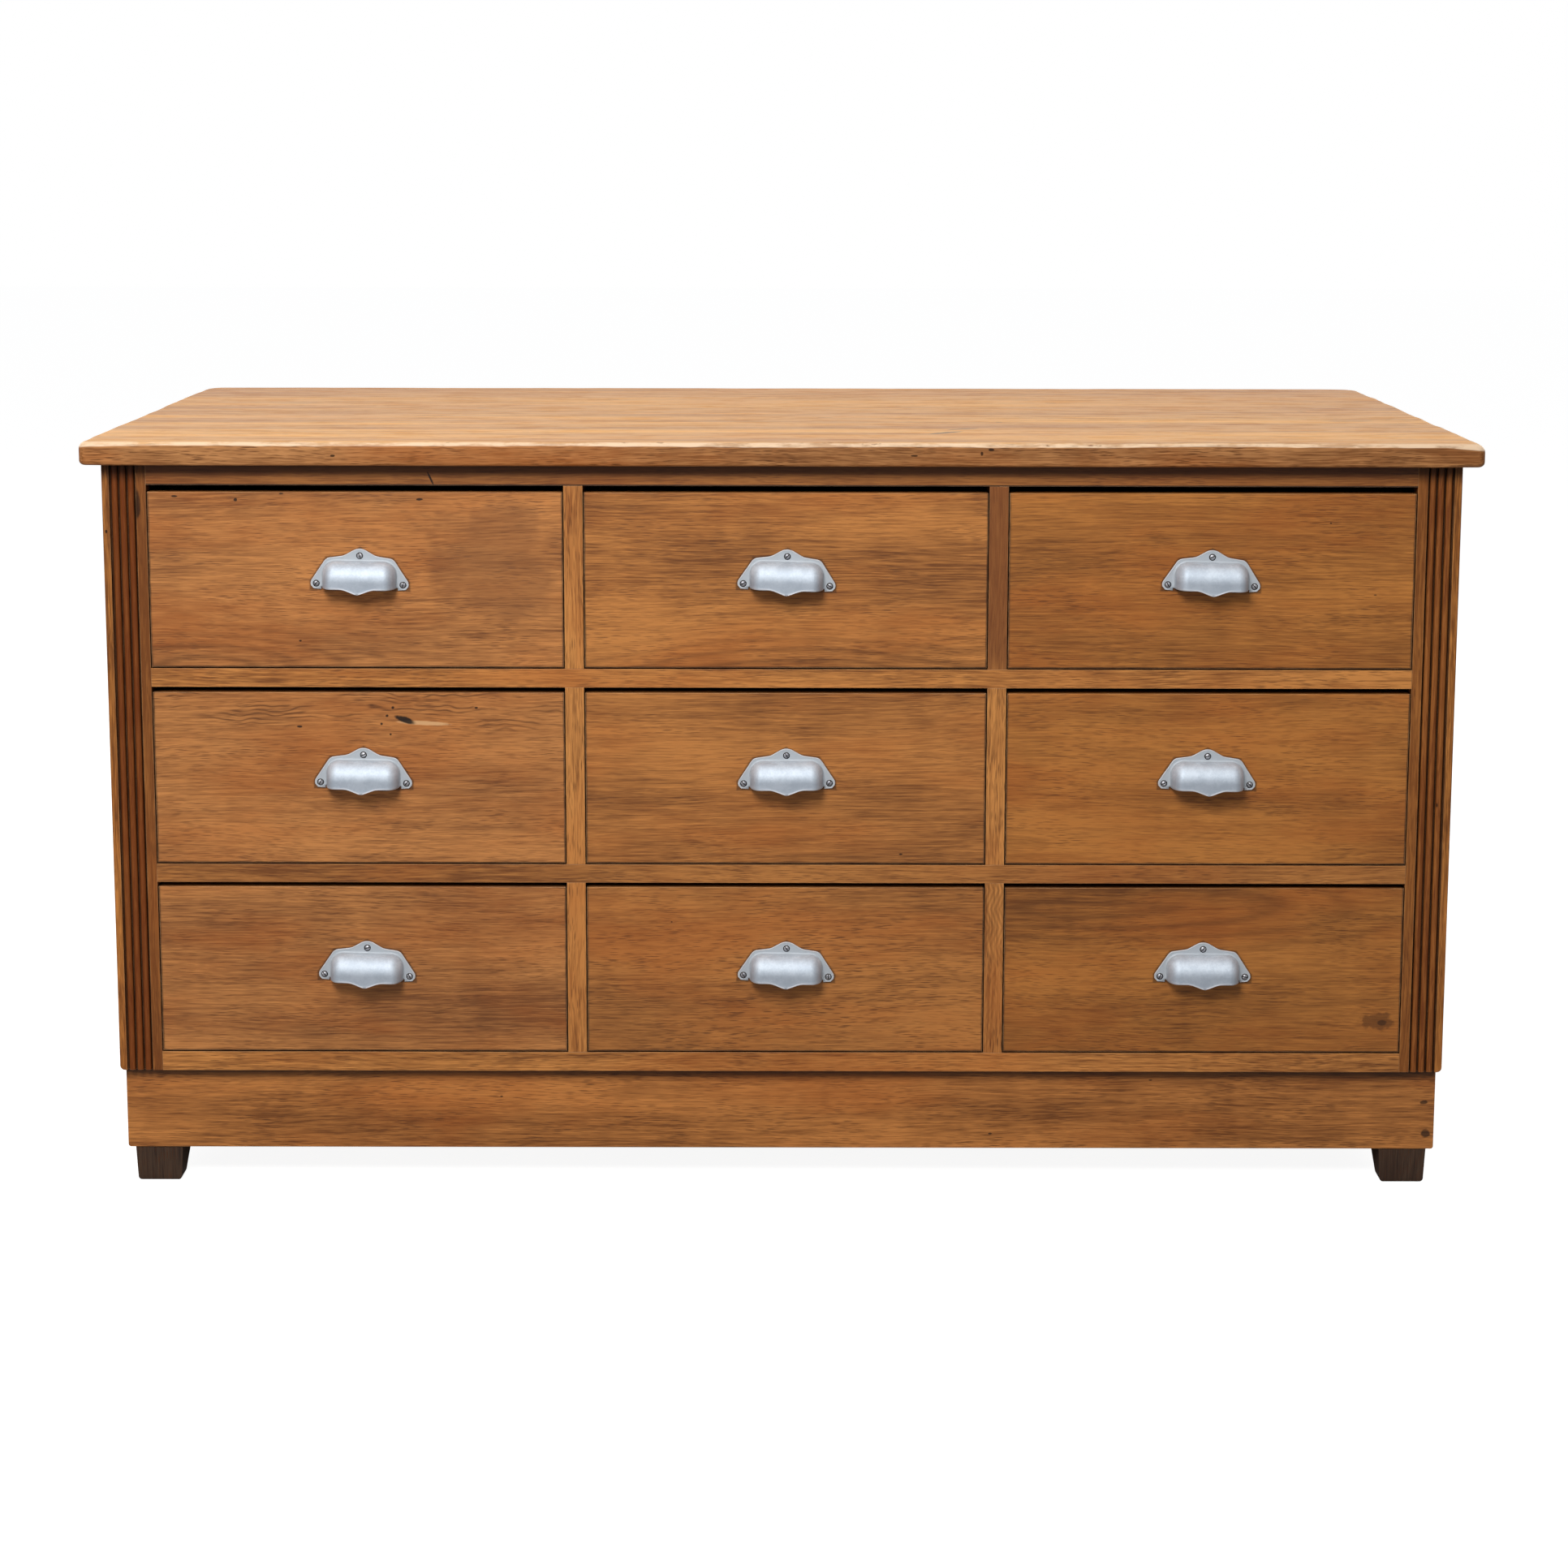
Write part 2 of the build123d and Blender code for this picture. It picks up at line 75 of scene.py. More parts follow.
class Nodes:
    """A node tree that is built step by step: each method adds a node and returns what comes out of it."""

    def __init__(self, tree):
        self.tree = tree
        self.tree.nodes.clear()

    def add(self, kind, values=None, output=0, **settings):
        """One node with its settings; a value is a number, a colour or another node's output."""
        node = self.tree.nodes.new("ShaderNode" + kind)
        for key, setting in settings.items():
            setattr(node, key, setting)
        for socket, value in (values or {}).items():
            if isinstance(value, bpy.types.NodeSocket):
                self.tree.links.new(value, node.inputs[socket])
            else:
                node.inputs[socket].default_value = value
        return node.outputs[output] if len(node.outputs) else node

    def part(self, vector, axis):
        """One coordinate of a vector."""
        return self.add("SeparateXYZ", {0: vector}, output=axis)

    def maths(self, operation, a, b=0.0, c=0.0, clamp=False):
        """One operation on up to three values."""
        return self.add("Math", {0: a, 1: b, 2: c}, operation=operation, use_clamp=clamp)

    def scaled(self, value, factor, shift=0.0):
        """The value times a factor, plus a shift."""
        return self.maths("MULTIPLY_ADD", value, factor, shift)

    def clamped(self, value):
        """The value kept between zero and one."""
        return self.maths("ADD", value, 0.0, clamp=True)

    def chain(self, operation, values):
        """The operation on the first two values, then on its result and the next value, and so on."""
        result = values[0]
        for value in values[1:]:
            result = self.maths(operation, result, value)
        return result

    def product(self, *values):
        """All the values multiplied together."""
        return self.chain("MULTIPLY", values)

    def total(self, *values):
        """All the values added together."""
        return self.chain("ADD", values)

    def highest(self, *values):
        """The largest of the values."""
        return self.chain("MAXIMUM", values)

    def length(self, u, w):
        """Root of the sum of two squares."""
        return self.maths("SQRT", self.total(self.product(u, u), self.product(w, w)))

    def wave(self, value, pace):
        """Wave between zero and one, with its pace in radians for each metre."""
        return self.scaled(self.maths("SINE", self.scaled(value, pace)), 0.5, 0.5)

    def stretch(self, vector, scales, shift=(0.0, 0.0, 0.0)):
        """The place times a scale on each axis, plus a shift."""
        return self.add("VectorMath", {0: vector, 1: scales, 2: shift}, operation="MULTIPLY_ADD")

    def noise(self, vector, detail=2.0, roughness=0.5):
        """Soft cloudy noise around a half."""
        values = {"Vector": vector, "Scale": 1.0, "Detail": detail, "Roughness": roughness}
        return self.add("TexNoise", values)

    def swing(self, noise, size, middle=0.0):
        """Noise around a half, taken to a swing of a size around a middle."""
        return self.scaled(noise, size, middle - size / 2)

    def band(self, value, low, high, bottom=0.0, top=1.0):
        """Smooth step of a value from low to high, taken to bottom and top."""
        values = {"Value": value, "From Min": low, "From Max": high, "To Min": bottom, "To Max": top}
        return self.add("MapRange", values, interpolation_type="SMOOTHSTEP")

    def between(self, value, low, high, edge):
        """One between low and high, falling to zero over a short edge on both sides."""
        rise, fall = self.band(value, low - edge, low + edge), self.band(value, high + edge, high - edge)
        return self.product(rise, fall)

    def mix(self, share, first, second):
        """The first colour, with a share of the second."""
        values = {0: share, 6: first, 7: second}
        return self.add("Mix", values, output=2, data_type="RGBA", clamp_factor=True)


class Finish(Nodes):
    """A material that is mixed on Object coordinates, in metres."""

    def __init__(self, name):
        self.material = bpy.data.materials.new(name)
        self.material.use_nodes = True
        super().__init__(self.material.node_tree)
        self.place = self.add("TexCoord", output="Object")
        self.axes = [self.part(self.place, axis) for axis in (ACROSS, BACK, UP)]

    def facing(self):
        """Direction that the surface looks in."""
        return self.add("NewGeometry", output="Normal")

    def cloud(self, cells, detail=3.0, roughness=0.5):
        """Noise that runs the same way in all directions, with its cells counted for each metre."""
        return self.noise(self.stretch(self.place, (cells,) * 3), detail, roughness)

    def spot(self, view, centre, radii, lean=0.0, ragged=0.35, cells=220.0):
        """Ragged ellipse in two axes, leaning by a slope: one in the middle, zero from its radii outwards."""
        u = self.scaled(self.axes[view[0]], 1.0, -centre[0])
        w = self.scaled(self.axes[view[1]], 1.0, -centre[1])
        u = self.scaled(self.total(u, self.scaled(w, -lean)), 1 / radii[0])
        w = self.scaled(w, 1 / radii[1])
        reach = self.total(self.length(u, w), self.swing(self.cloud(cells), 2 * ragged))
        return self.band(reach, 1.0, 0.6)

    def finish(self, colour, roughness, bump, normal=None, **constants):
        """Closes the material with its surface shader; a bump is a height, a strength and a distance."""
        height, strength, distance = bump
        lift = {"Height": height, "Strength": strength, "Distance": distance}
        if normal is not None:
            lift["Normal"] = normal
        values = {"Base Color": colour, "Roughness": roughness, "Normal": self.add("Bump", lift)}
        values.update({key.replace("_", " "): value for key, value in constants.items()})
        self.add("OutputMaterial", {"Surface": self.add("BsdfPrincipled", values)})
        return self.material


# Wood. Each grain is a scale of noise, in cells for each metre along the wood and twice across it

FRONT_LIGHT = tint(194, 126, 61)
FRONT_DARK = tint(118, 69, 30)
RED_CAST = tint(166, 88, 32)
PORE_WOOD = tint(78, 42, 17)
WORN_WOOD = tint(214, 166, 116)
# Dark brown for real dirt and for painted shade: in inner corners, under overhangs, along gaps and round the
# pulls.
GRIME_AND_SHADE = tint(34, 18, 8)
# Near black for holes, cracks and gouges, and for a painted line of shade at the foot of the top rail.
HOLE_AND_SHADE = tint(20, 10, 5)
AXIS_ORDER = {"X": (0, 1, 2), "Y": (1, 0, 2), "Z": (2, 1, 0)}
BEND_GRAIN = (2.2, 5.5, 5.5)
PATCH_GRAIN = (2.2, 15.0, 15.0)
STREAK_GRAIN = (6.0, 210.0, 210.0)
FIBRE_GRAIN = (22.0, 620.0, 620.0)
RIPPLE_AND_SHEEN_GRAIN = (32.0, 6.0, 6.0)
WARM_GRAIN = (3.4, 12.0, 12.0)
PORE_GRAIN = (56.0, 820.0, 820.0)
CROWD_GRAIN = (14.0, 36.0, 36.0)
RUB_GRAIN = (26.0, 60.0, 60.0)
SWAY = 0.024
ARRIS_RADIUS = 1.3 * MM
BUMP_STRENGTH, BUMP_HEIGHT = 0.35, 0.35 * MM


class Wood(Finish):
    """Waxed old wood: broad patches, streaks and short pores along the grain, worn arrises, painted shade in
    inner corners.

    In a crossed wood, faces that look along the grain belong to boards that run the other way.
    """

    def __init__(self, name, along="X", light=FRONT_LIGHT, dark=FRONT_DARK, cast=RED_CAST, seed=0.0, tone=0.5,
                 blotches=1.0, streaks=1.0, pores=1.0, crossed=False):
        super().__init__(name)
        self.turned = self.swapped(AXIS_ORDER[along])
        if crossed:
            other = self.swapped(AXIS_ORDER["Y" if along == "X" else "X"])
            end = self.maths("ABSOLUTE", self.part(self.facing(), "XYZ".index(along)))
            end = self.maths("GREATER_THAN", end, 0.7)
            values = {0: end, 4: self.turned, 5: other}
            self.turned = self.add("Mix", values, output=1, data_type="VECTOR")
        self.start = (seed * 1.7, seed * 0.9, seed * 2.3)
        self.bend = self.noise(self.stretch(self.turned, BEND_GRAIN, self.start), 2.0)
        sway = self.swing(self.bend, SWAY)
        offset = self.add("CombineXYZ", {0: 0.0, 1: sway, 2: sway})
        self.grain = self.add("VectorMath", {0: self.turned, 1: offset}, operation="ADD")
        patch = self.noise(self.stretch(self.grain, PATCH_GRAIN, self.start), 5.0, 0.58)
        streak = self.noise(self.stretch(self.grain, STREAK_GRAIN, self.start), 4.0, 0.68)
        self.fibre = self.noise(self.stretch(self.grain, FIBRE_GRAIN, self.start), 2.0, 0.6)
        # faint bands across the grain: a ripple figure, with its sheen painted into the colour as a painted
        # highlight
        ripple_and_sheen = self.noise(self.stretch(self.turned, RIPPLE_AND_SHEEN_GRAIN, self.start), 1.0)
        value = self.total(
            self.swing(patch, 1.9 * blotches, tone),
            self.swing(streak, 1.0 * streaks),
            self.swing(self.fibre, 1.8 * streaks),
            self.swing(ripple_and_sheen, 0.3 * blotches),
        )
        self.colour = self.mix(self.clamped(value), dark, light)
        warmth = self.noise(self.stretch(self.turned, WARM_GRAIN, (4.0 + seed, 9.0, 2.0)), 4.0, 0.6)
        self.paint(self.band(warmth, 0.42, 0.70, 0.0, 0.42), cast)
        pores_at = self.stretch(self.grain, PORE_GRAIN, self.start)
        cells = self.add("TexVoronoi", {"Vector": pores_at, "Scale": 1.0})
        crowd = self.noise(self.stretch(self.turned, CROWD_GRAIN, self.start), 3.0)
        crowd = self.band(crowd, 0.38, 0.66, 0.25 * pores, 0.72 * pores)
        self.fleck = self.product(self.band(cells, 0.44, 0.18), crowd)
        self.paint(self.fleck, PORE_WOOD)
        self.soft = self.add("Bevel", {"Radius": ARRIS_RADIUS}, samples=4)

    def swapped(self, order):
        """The place with its axes in another order."""
        return self.add("CombineXYZ", {slot: self.axes[axis] for slot, axis in enumerate(order)})

    def paint(self, mask, colour, amount=1.0):
        """Lays a colour where the mask is one."""
        share = self.scaled(mask, amount) if amount != 1.0 else mask
        self.colour = self.mix(share, self.colour, colour)

    def marks(self, view, places, colour, amount, **look):
        """Spots of one colour, each given by its place and its radii in millimetres."""
        for first, second, wide, high in places:
            spot = self.spot(view, (first * MM, second * MM), (wide * MM, high * MM), **look)
            self.paint(spot, colour, amount)

    def cathedral(self, u, w, squeeze, pace=640.0):
        """Darker arcs round a point of the board: the middle of a plain-sawn figure."""
        across = self.scaled(self.part(self.grain, UP), 1.0, -w)
        endways = self.scaled(self.part(self.grain, ACROSS), squeeze, -u * squeeze)
        reach = self.total(self.length(across, endways), self.scaled(self.bend, 0.035))
        lines = self.maths("POWER", self.wave(reach, pace), 2.5)
        self.paint(self.product(lines, self.band(reach, 0.085, 0.03)), PORE_WOOD, 0.4)

    def gap_shade_and_dirt(self, low, high):
        """Dark line along the sides and the foot of a drawer front: painted shade at the gaps round it, with
        old dirt there.
        """
        side = self.maths("ABSOLUTE", self.scaled(self.axes[ACROSS], 1.0, -(low.x + high.x) / 2))
        side = self.scaled(side, -1.0, (high.x - low.x) / 2)
        foot = self.scaled(self.axes[UP], 1.0, -low.z)
        reach = self.total(self.maths("MINIMUM", side, foot), self.swing(self.cloud(60.0), 1.6 * MM))
        # painted shade along the gaps, with dirt
        self.paint(self.band(reach, 2.0 * MM, 0.7 * MM), GRIME_AND_SHADE, 0.7)

    def plate_shade_and_dirt(self, x, z, turn):
        """Painted contact shade and dirt on the wood round a pull's plate, fading with the distance from the
        plate's outline.

        The outline is the smaller of two depths: behind the lines along the shoulders, sides and bottom,
        and behind the line along the slope of the peak, kept to the part above the shoulders. Each line is
        given by its direction and its distance from the peak, in millimetres.
        """
        across = self.scaled(self.axes[ACROSS], 1 / MM, -x / MM)
        down = self.scaled(self.axes[UP], 1 / MM, -z / MM - PULL_PIVOT)
        u = self.total(self.scaled(across, np.cos(turn)), self.scaled(down, -np.sin(turn)))
        u = self.maths("ABSOLUTE", u)
        w = self.total(self.scaled(across, np.sin(turn)), self.scaled(down, np.cos(turn), PULL_PIVOT))

        def behind(over, up, reach):
            return self.total(self.scaled(u, over), self.scaled(w, up, -reach))

        lower = self.highest(behind(0.837, 0.547, 24.5), behind(0.129, 0.992, -5.8),
                             behind(1.0, 0.0, 53.0), behind(0.0, -1.0, 44.8))
        peak = self.highest(behind(0.5, 0.866, 0.6), behind(0.0, -1.0, 12.0))
        depth = self.total(self.maths("MINIMUM", lower, peak), self.swing(self.cloud(160.0), 2.4))
        # painted contact shade with dirt, round the plate
        self.paint(self.band(depth, 2.4, 0.2), GRIME_AND_SHADE, 0.6)

    def age(self, worn=0.6, nook_shade=0.6, nook=9.0, worn_colour=WORN_WOOD):
        """Lightens worn arrises, where the softened normal turns away from the face, and darkens inner
        corners with painted shade, found by ambient occlusion.
        """
        turn = self.add("VectorMath", {0: self.soft, 1: self.facing()}, output=1, operation="DOT_PRODUCT")
        rub = self.noise(self.stretch(self.turned, RUB_GRAIN, self.start), 4.0, 0.65)
        wear_and_shade = self.product(self.band(turn, 0.99, 0.88), self.band(rub, 0.36, 0.62, 0.12, worn))
        self.paint(wear_and_shade, worn_colour)
        # painted shade in inner corners, found by ambient occlusion
        shut_in = self.add("AmbientOcclusion", {"Distance": nook * MM}, output=1, samples=6)
        self.paint(self.band(shut_in, 0.85, 0.2), GRIME_AND_SHADE, nook_shade)

    def done(self, gloss=0.44, wax=0.28):
        """Closes the wood with wax sheen and a fine bump of pores and fibres."""
        height = self.maths("SUBTRACT", self.scaled(self.fibre, 0.5), self.scaled(self.fleck, 0.9))
        bump = (height, BUMP_STRENGTH, BUMP_HEIGHT)
        return self.finish(self.colour, self.scaled(self.fibre, 0.16, gloss), bump, self.soft,
                           Specular_IOR_Level=wax)


def give(names, material):
    """Puts a finish on CAD nodes."""
    for name in names:
        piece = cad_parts[name]
        piece.data.materials.clear()
        piece.data.materials.append(material)


HOLES = {  # in the drawer fronts: across, up and two radii, in millimetres
    "top_left_drawer": [(-652, 769, 4.0, 1.2), (-586.5, 765.5, 2.2, 2.2), (-537.5, 772.0, 3.0, 1.0),
                        (-389, 766, 4.6, 1.6), (-520, 612, 1.8, 1.3)],
    "middle_left_drawer": [(-421.5, 538.5, 2.0, 2.0), (-428, 529.5, 2.0, 1.8), (-434, 520.5, 1.6, 1.6),
                           (-424.5, 509, 1.5, 1.6), (-331, 538.5, 2.2, 1.5), (-523, 517.5, 3.6, 1.5)],
    "middle_centre_drawer": [(130.5, 376.5, 2.6, 1.2)],
    "bottom_centre_drawer": [(-120.0, 300.0, 1.4, 0.8)],
    "top_right_drawer": [(590.0, 742.0, 1.5, 0.9), (640.0, 664.0, 2.0, 0.7)],
}
PLINTH_MARKS = [(233, 55, 3.0, 1.6), (714, 92, 5.0, 3.0), (717, 56, 6.0, 6.0), (-310, 97, 2.0, 1.0),
                (410, 117, 2.4, 1.0)]


def front_marks(wood, name):
    """Small old damage of single drawer fronts: nail holes, a chip with a pale splinter, a knot."""
    wood.marks(FRONT_VIEW, HOLES.get(name, []), HOLE_AND_SHADE, 0.9)
    if name == "middle_left_drawer":
        wavy = wood.noise(wood.stretch(wood.turned, (16.0, 34.0, 34.0), (3.0, 1.0, 2.0)), 2.0)
        height = wood.total(wood.axes[UP], wood.swing(wavy, 0.030))
        lines = wood.maths("POWER", wood.wave(height, 1150.0), 3.0)
        broken = wood.noise(wood.stretch(wood.turned, (11.0, 90.0, 90.0), (7.0, 1.0, 2.0)), 3.0, 0.6)
        upper = wood.product(wood.band(wood.axes[UP], 0.497, 0.532), wood.band(broken, 0.47, 0.62))
        wood.paint(wood.product(lines, upper), PORE_WOOD, 0.75)
        wood.marks(FRONT_VIEW, [(-388, 521.5, 29.5, 3.2)], WORN_WOOD, 0.85, lean=-5.0, ragged=0.15)
        wood.marks(FRONT_VIEW, [(-408.5, 525, 9.5, 5.8)], HOLE_AND_SHADE, 0.96, lean=-1.5, ragged=0.25)
    if name == "bottom_right_drawer":
        wood.marks(FRONT_VIEW, [(656, 188, 22, 12)], PORE_WOOD, 0.6, ragged=0.7, cells=110.0)
        wood.marks(FRONT_VIEW, [(662, 187, 6, 4)], HOLE_AND_SHADE, 0.6)


def dress_fronts():
    """Drawer fronts: each cut from its own board, painted darker to the right and further down as a painted
    falloff of the light from the upper left.
    """
    for index, name in enumerate(DRAWERS):
        row, column = divmod(index, len(COLUMNS))
        # painted falloff of the light from the upper left: fronts darker to the right and lower down
        painted_falloff, grey = 1.07 - 0.08 * column - 0.035 * row, 0.06 - 0.04 * column
        light, dark = shade(FRONT_LIGHT, painted_falloff, grey), shade(FRONT_DARK, painted_falloff, grey)
        draw = np.random.default_rng(90 + index)
        wood = Wood(f"{name}_front_wood", light=light, dark=dark, seed=11.0 + 3.7 * index,
                    tone=draw.uniform(0.5, 0.62), blotches=draw.uniform(0.8, 1.2),
                    streaks=draw.uniform(0.8, 1.1), pores=draw.uniform(0.7, 1.15))
        if name == "top_left_drawer":
            wood.cathedral(-0.62, 0.585, 0.22)
            # painted shade: a broad soft darker patch over the right part of this front
            wood.marks(FRONT_VIEW, [(-315, 700, 75, 85)], tint(112, 68, 38), 0.4, ragged=0.6, cells=22.0)
        if name == "top_centre_drawer":
            wood.cathedral(0.03, 0.575, 0.12)
        if name == "bottom_right_drawer":
            wood.cathedral(0.33, 0.315, 0.12, pace=520.0)
        front_marks(wood, name)
        wood.gap_shade_and_dirt(*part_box(f"{name}_front"))
        low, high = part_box(f"{name}_pull")
        wood.plate_shade_and_dirt((low.x + high.x) / 2, high.z, pull_turn(index))
        wood.age(worn=0.75)
        give([f"{name}_front"], wood.done())


def dress_rails():
    """Rails: a painted shadow under the top's overhang, a painted line of shade along the foot of the
    uppermost one, and a crack in it.
    """
    rails = Wood("rail_wood", light=tint(202, 134, 68), seed=5.3, tone=0.62, blotches=1.1, streaks=1.2)
    height, overhang = rails.axes[UP], TOP_LOW.z
    rails.paint(rails.between(height, 0.340, 0.368, 0.004), tint(104, 60, 28), 0.28)
    # painted shadow of the top's overhang: a softer band, then a dark one just under the top
    rails.paint(rails.band(height, overhang - 0.032, overhang - 0.020), tint(108, 58, 24), 0.5)
    rails.paint(rails.band(height, overhang - 0.016, overhang - 0.007), tint(56, 26, 9), 0.75)
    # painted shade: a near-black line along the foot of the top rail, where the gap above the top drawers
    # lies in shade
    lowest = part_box("top_rail")[0].z
    rails.paint(rails.between(height, lowest - 0.001, lowest + 0.0014, 0.0004), HOLE_AND_SHADE, 0.9)
    rails.marks(FRONT_VIEW, [(-377, 789, 1.4, 8.5)], HOLE_AND_SHADE, 0.95, lean=-0.45)
    rails.age(worn=0.5, nook=14.0, nook_shade=0.7)
    give(["bottom_rail", "middle_rails", "top_rail"], rails.done())


def dress_dividers():
    """Dividers: the right one is darker at the top and has a zigzag figure at its foot."""
    wood = Wood("divider_wood", along="Z", light=tint(202, 136, 70), seed=8.7, tone=0.6, blotches=1.1,
                streaks=1.2)
    across, height = wood.axes[ACROSS], wood.axes[UP]
    right = wood.band(across, -0.01, 0.01)
    wood.paint(wood.product(right, wood.band(height, 0.55, 0.60)), tint(112, 62, 28), 0.75)
    zigzag = wood.total(across, wood.scaled(wood.maths("PINGPONG", height, 0.021), 0.4))
    foot = wood.product(right, wood.band(height, 0.36, 0.34), wood.band(wood.bend, 0.3, 0.6))
    wood.paint(wood.product(wood.wave(zigzag, 1300.0), foot), PORE_WOOD, 0.4)
    wood.age(worn=0.5, nook_shade=0.7)
    give(["front_dividers"], wood.done())


def dress_stiles():
    """Stiles: redder wood, painted shade nearly black in the grooves beside the reeds, the left reeds painted
    darker against the key light there, a painted shadow under the top, and an old stain at the top left.
    """
    stiles = Wood("stile_wood", along="Z", seed=13.4, tone=0.40, blotches=1.2, streaks=1.3)
    out = stiles.maths("ABSOLUTE", stiles.axes[ACROSS])
    outer = abs(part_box("left_stile")[0].x)
    reeds_out, reeds_in, groove_start, groove_floor = 0.0081, 0.0367, 0.0012, 0.0036
    reeds = stiles.between(out, outer - reeds_in, outer - reeds_out, 0.0008)
    # the reeds' red-brown, laid more heavily on the left stile as painted shade against the key light falling
    # there
    reed_tone_and_left_shade = stiles.band(stiles.axes[ACROSS], -0.1, 0.1, 0.72, 0.5)
    stiles.paint(stiles.product(reeds, reed_tone_and_left_shade), tint(104, 44, 8))
    # painted shade in the grooves between the reeds
    groove_shade = stiles.band(stiles.axes[BACK], FACE + groove_start, FACE + groove_floor)
    stiles.paint(stiles.product(groove_shade, reeds), tint(52, 22, 5), 0.8)
    stiles.paint(stiles.band(out, outer - 0.0365, outer - 0.0380), tint(112, 62, 27), 0.5)
    # painted shadow under the top's overhang
    stiles.paint(stiles.band(stiles.axes[UP], TOP_LOW.z - 0.024, TOP_LOW.z - 0.002), GRIME_AND_SHADE, 0.8)
    stiles.marks(FRONT_VIEW, [(-692.5, 759, 4.5, 21)], HOLE_AND_SHADE, 0.8, cells=90.0)
    stiles.marks(FRONT_VIEW, [(-726.2, 730.5, 1.4, 2.4)], HOLE_AND_SHADE, 0.9)
    stiles.marks(FRONT_VIEW, [(714.5, 432, 1.2, 3.0)], HOLE_AND_SHADE, 0.8)
    stiles.age(worn=0.55, nook_shade=0.5, nook=7.0)
    give(["left_stile", "right_stile"], stiles.done(gloss=0.42, wax=0.18))


def dress_ends():
    """Sides, plinth and feet: painted shadow under the top and along the plinth's upper edge, and painted
    shade in the corners of the dark feet.
    """
    sides = Wood("side_wood", along="Z", seed=17.9, tone=0.45)
    # painted shadow under the top's overhang
    sides.paint(sides.band(sides.axes[UP], TOP_LOW.z - 0.022, TOP_LOW.z - 0.001), GRIME_AND_SHADE, 0.5)
    sides.age(worn=0.6, nook=16.0)
    give(["left_side", "right_side"], sides.done())

    plinth = Wood("plinth_wood", light=tint(200, 130, 66), seed=9.6, tone=0.46, blotches=1.2, streaks=0.9,
                  crossed=True)
    upper_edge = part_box("plinth")[1].z
    # painted shadow along the plinth's upper edge, under the carcass above it
    plinth.paint(plinth.band(plinth.axes[UP], upper_edge - 0.015, upper_edge - 0.002), GRIME_AND_SHADE, 0.8)
    plinth.marks(FRONT_VIEW, PLINTH_MARKS, GRIME_AND_SHADE, 0.8)
    plinth.age(worn=0.8, nook=14.0, nook_shade=0.7)
    give(["plinth"], plinth.done())

    # the feet's very dark colour is their dark wood and also painted shade from the plinth above them
    feet = Wood("foot_wood", along="Z", light=tint(88, 67, 51), dark=tint(45, 32, 25), cast=tint(72, 48, 34),
                seed=6.1, tone=0.44, blotches=1.3, streaks=0.9)
    feet.age(worn=0.1, nook_shade=0.7, worn_colour=tint(120, 88, 64))
    give(["feet"], feet.done(gloss=0.62, wax=0.2))


def dress_inside():
    """Bare, dry wood of the frames, drawer boxes and back boards."""
    bare = {"along": "Y", "light": tint(210, 171, 122), "dark": tint(166, 121, 77),
            "cast": tint(194, 142, 88), "crossed": True}
    runners = Wood("runner_wood", seed=2.2, **bare)
    runners.age(worn=0.2, nook_shade=0.5)
    give(["runner_frames", "drawer_guides", "drawer_stops"], runners.done(gloss=0.6))

    back = Wood("back_wood", along="Z", light=tint(190, 140, 88), dark=tint(128, 86, 50),
                cast=tint(164, 104, 54), seed=4.4, blotches=1.3)
    back.paint(back.add("NewGeometry", output="Random Per Island"), tint(112, 74, 42), 0.4)
    back.age(worn=0.3, nook_shade=0.8)
    give(["back_boards"], back.done(gloss=0.6))

    for index, name in enumerate(DRAWERS):
        box = Wood(f"{name}_box_wood", seed=31.0 + 2.3 * index, **bare)
        box.age(worn=0.25, nook_shade=0.5)
        give([f"{name}_box", f"{name}_bottom"], box.done(gloss=0.58))


# Meshes

SAME_POINT = 0.002 * MM


def grid_piece(name, sheets, material, body=None, smooth=True, marks=None):
    """One mesh from grids of points, arrays (rows, columns, 3) with flags that close their rows or columns.

    Points that fall together, as at seams and poles, are joined. Marks are one number for each point, kept
    with the mesh under their names for its material.
    """
    points, faces, start = [], [], 0
    for sheet, wrap_rows, wrap_columns in sheets:
        rows, columns = sheet.shape[:2]
        number = np.arange(rows * columns).reshape(rows, columns) + start
        if wrap_rows:
            number = np.vstack([number, number[:1]])
        if wrap_columns:
            number = np.hstack([number, number[:, :1]])
        quads = [number[:-1, :-1], number[:-1, 1:], number[1:, 1:], number[1:, :-1]]
        faces.append(np.stack(quads, axis=-1).reshape(-1, 4))
        points.append(sheet.reshape(-1, 3))
        start += rows * columns
    mesh = bpy.data.meshes.new(name)
    mesh.from_pydata(np.concatenate(points).tolist(), [], np.concatenate(faces).tolist())
    for mark, values in (marks or {}).items():
        numbers = np.asarray(values, np.float32).ravel()
        mesh.attributes.new(mark, "FLOAT", "POINT").data.foreach_set("value", numbers)
    built = bmesh.new()
    built.from_mesh(mesh)
    bmesh.ops.remove_doubles(built, verts=built.verts, dist=SAME_POINT)
    built.to_mesh(mesh)
    built.free()
    mesh.polygons.foreach_set("use_smooth", [smooth] * len(mesh.polygons))
    mesh.materials.append(material)
    piece = bpy.data.objects.new(name, mesh)
    bpy.context.scene.collection.objects.link(piece)
    if body:
        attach(piece, body)
    return piece


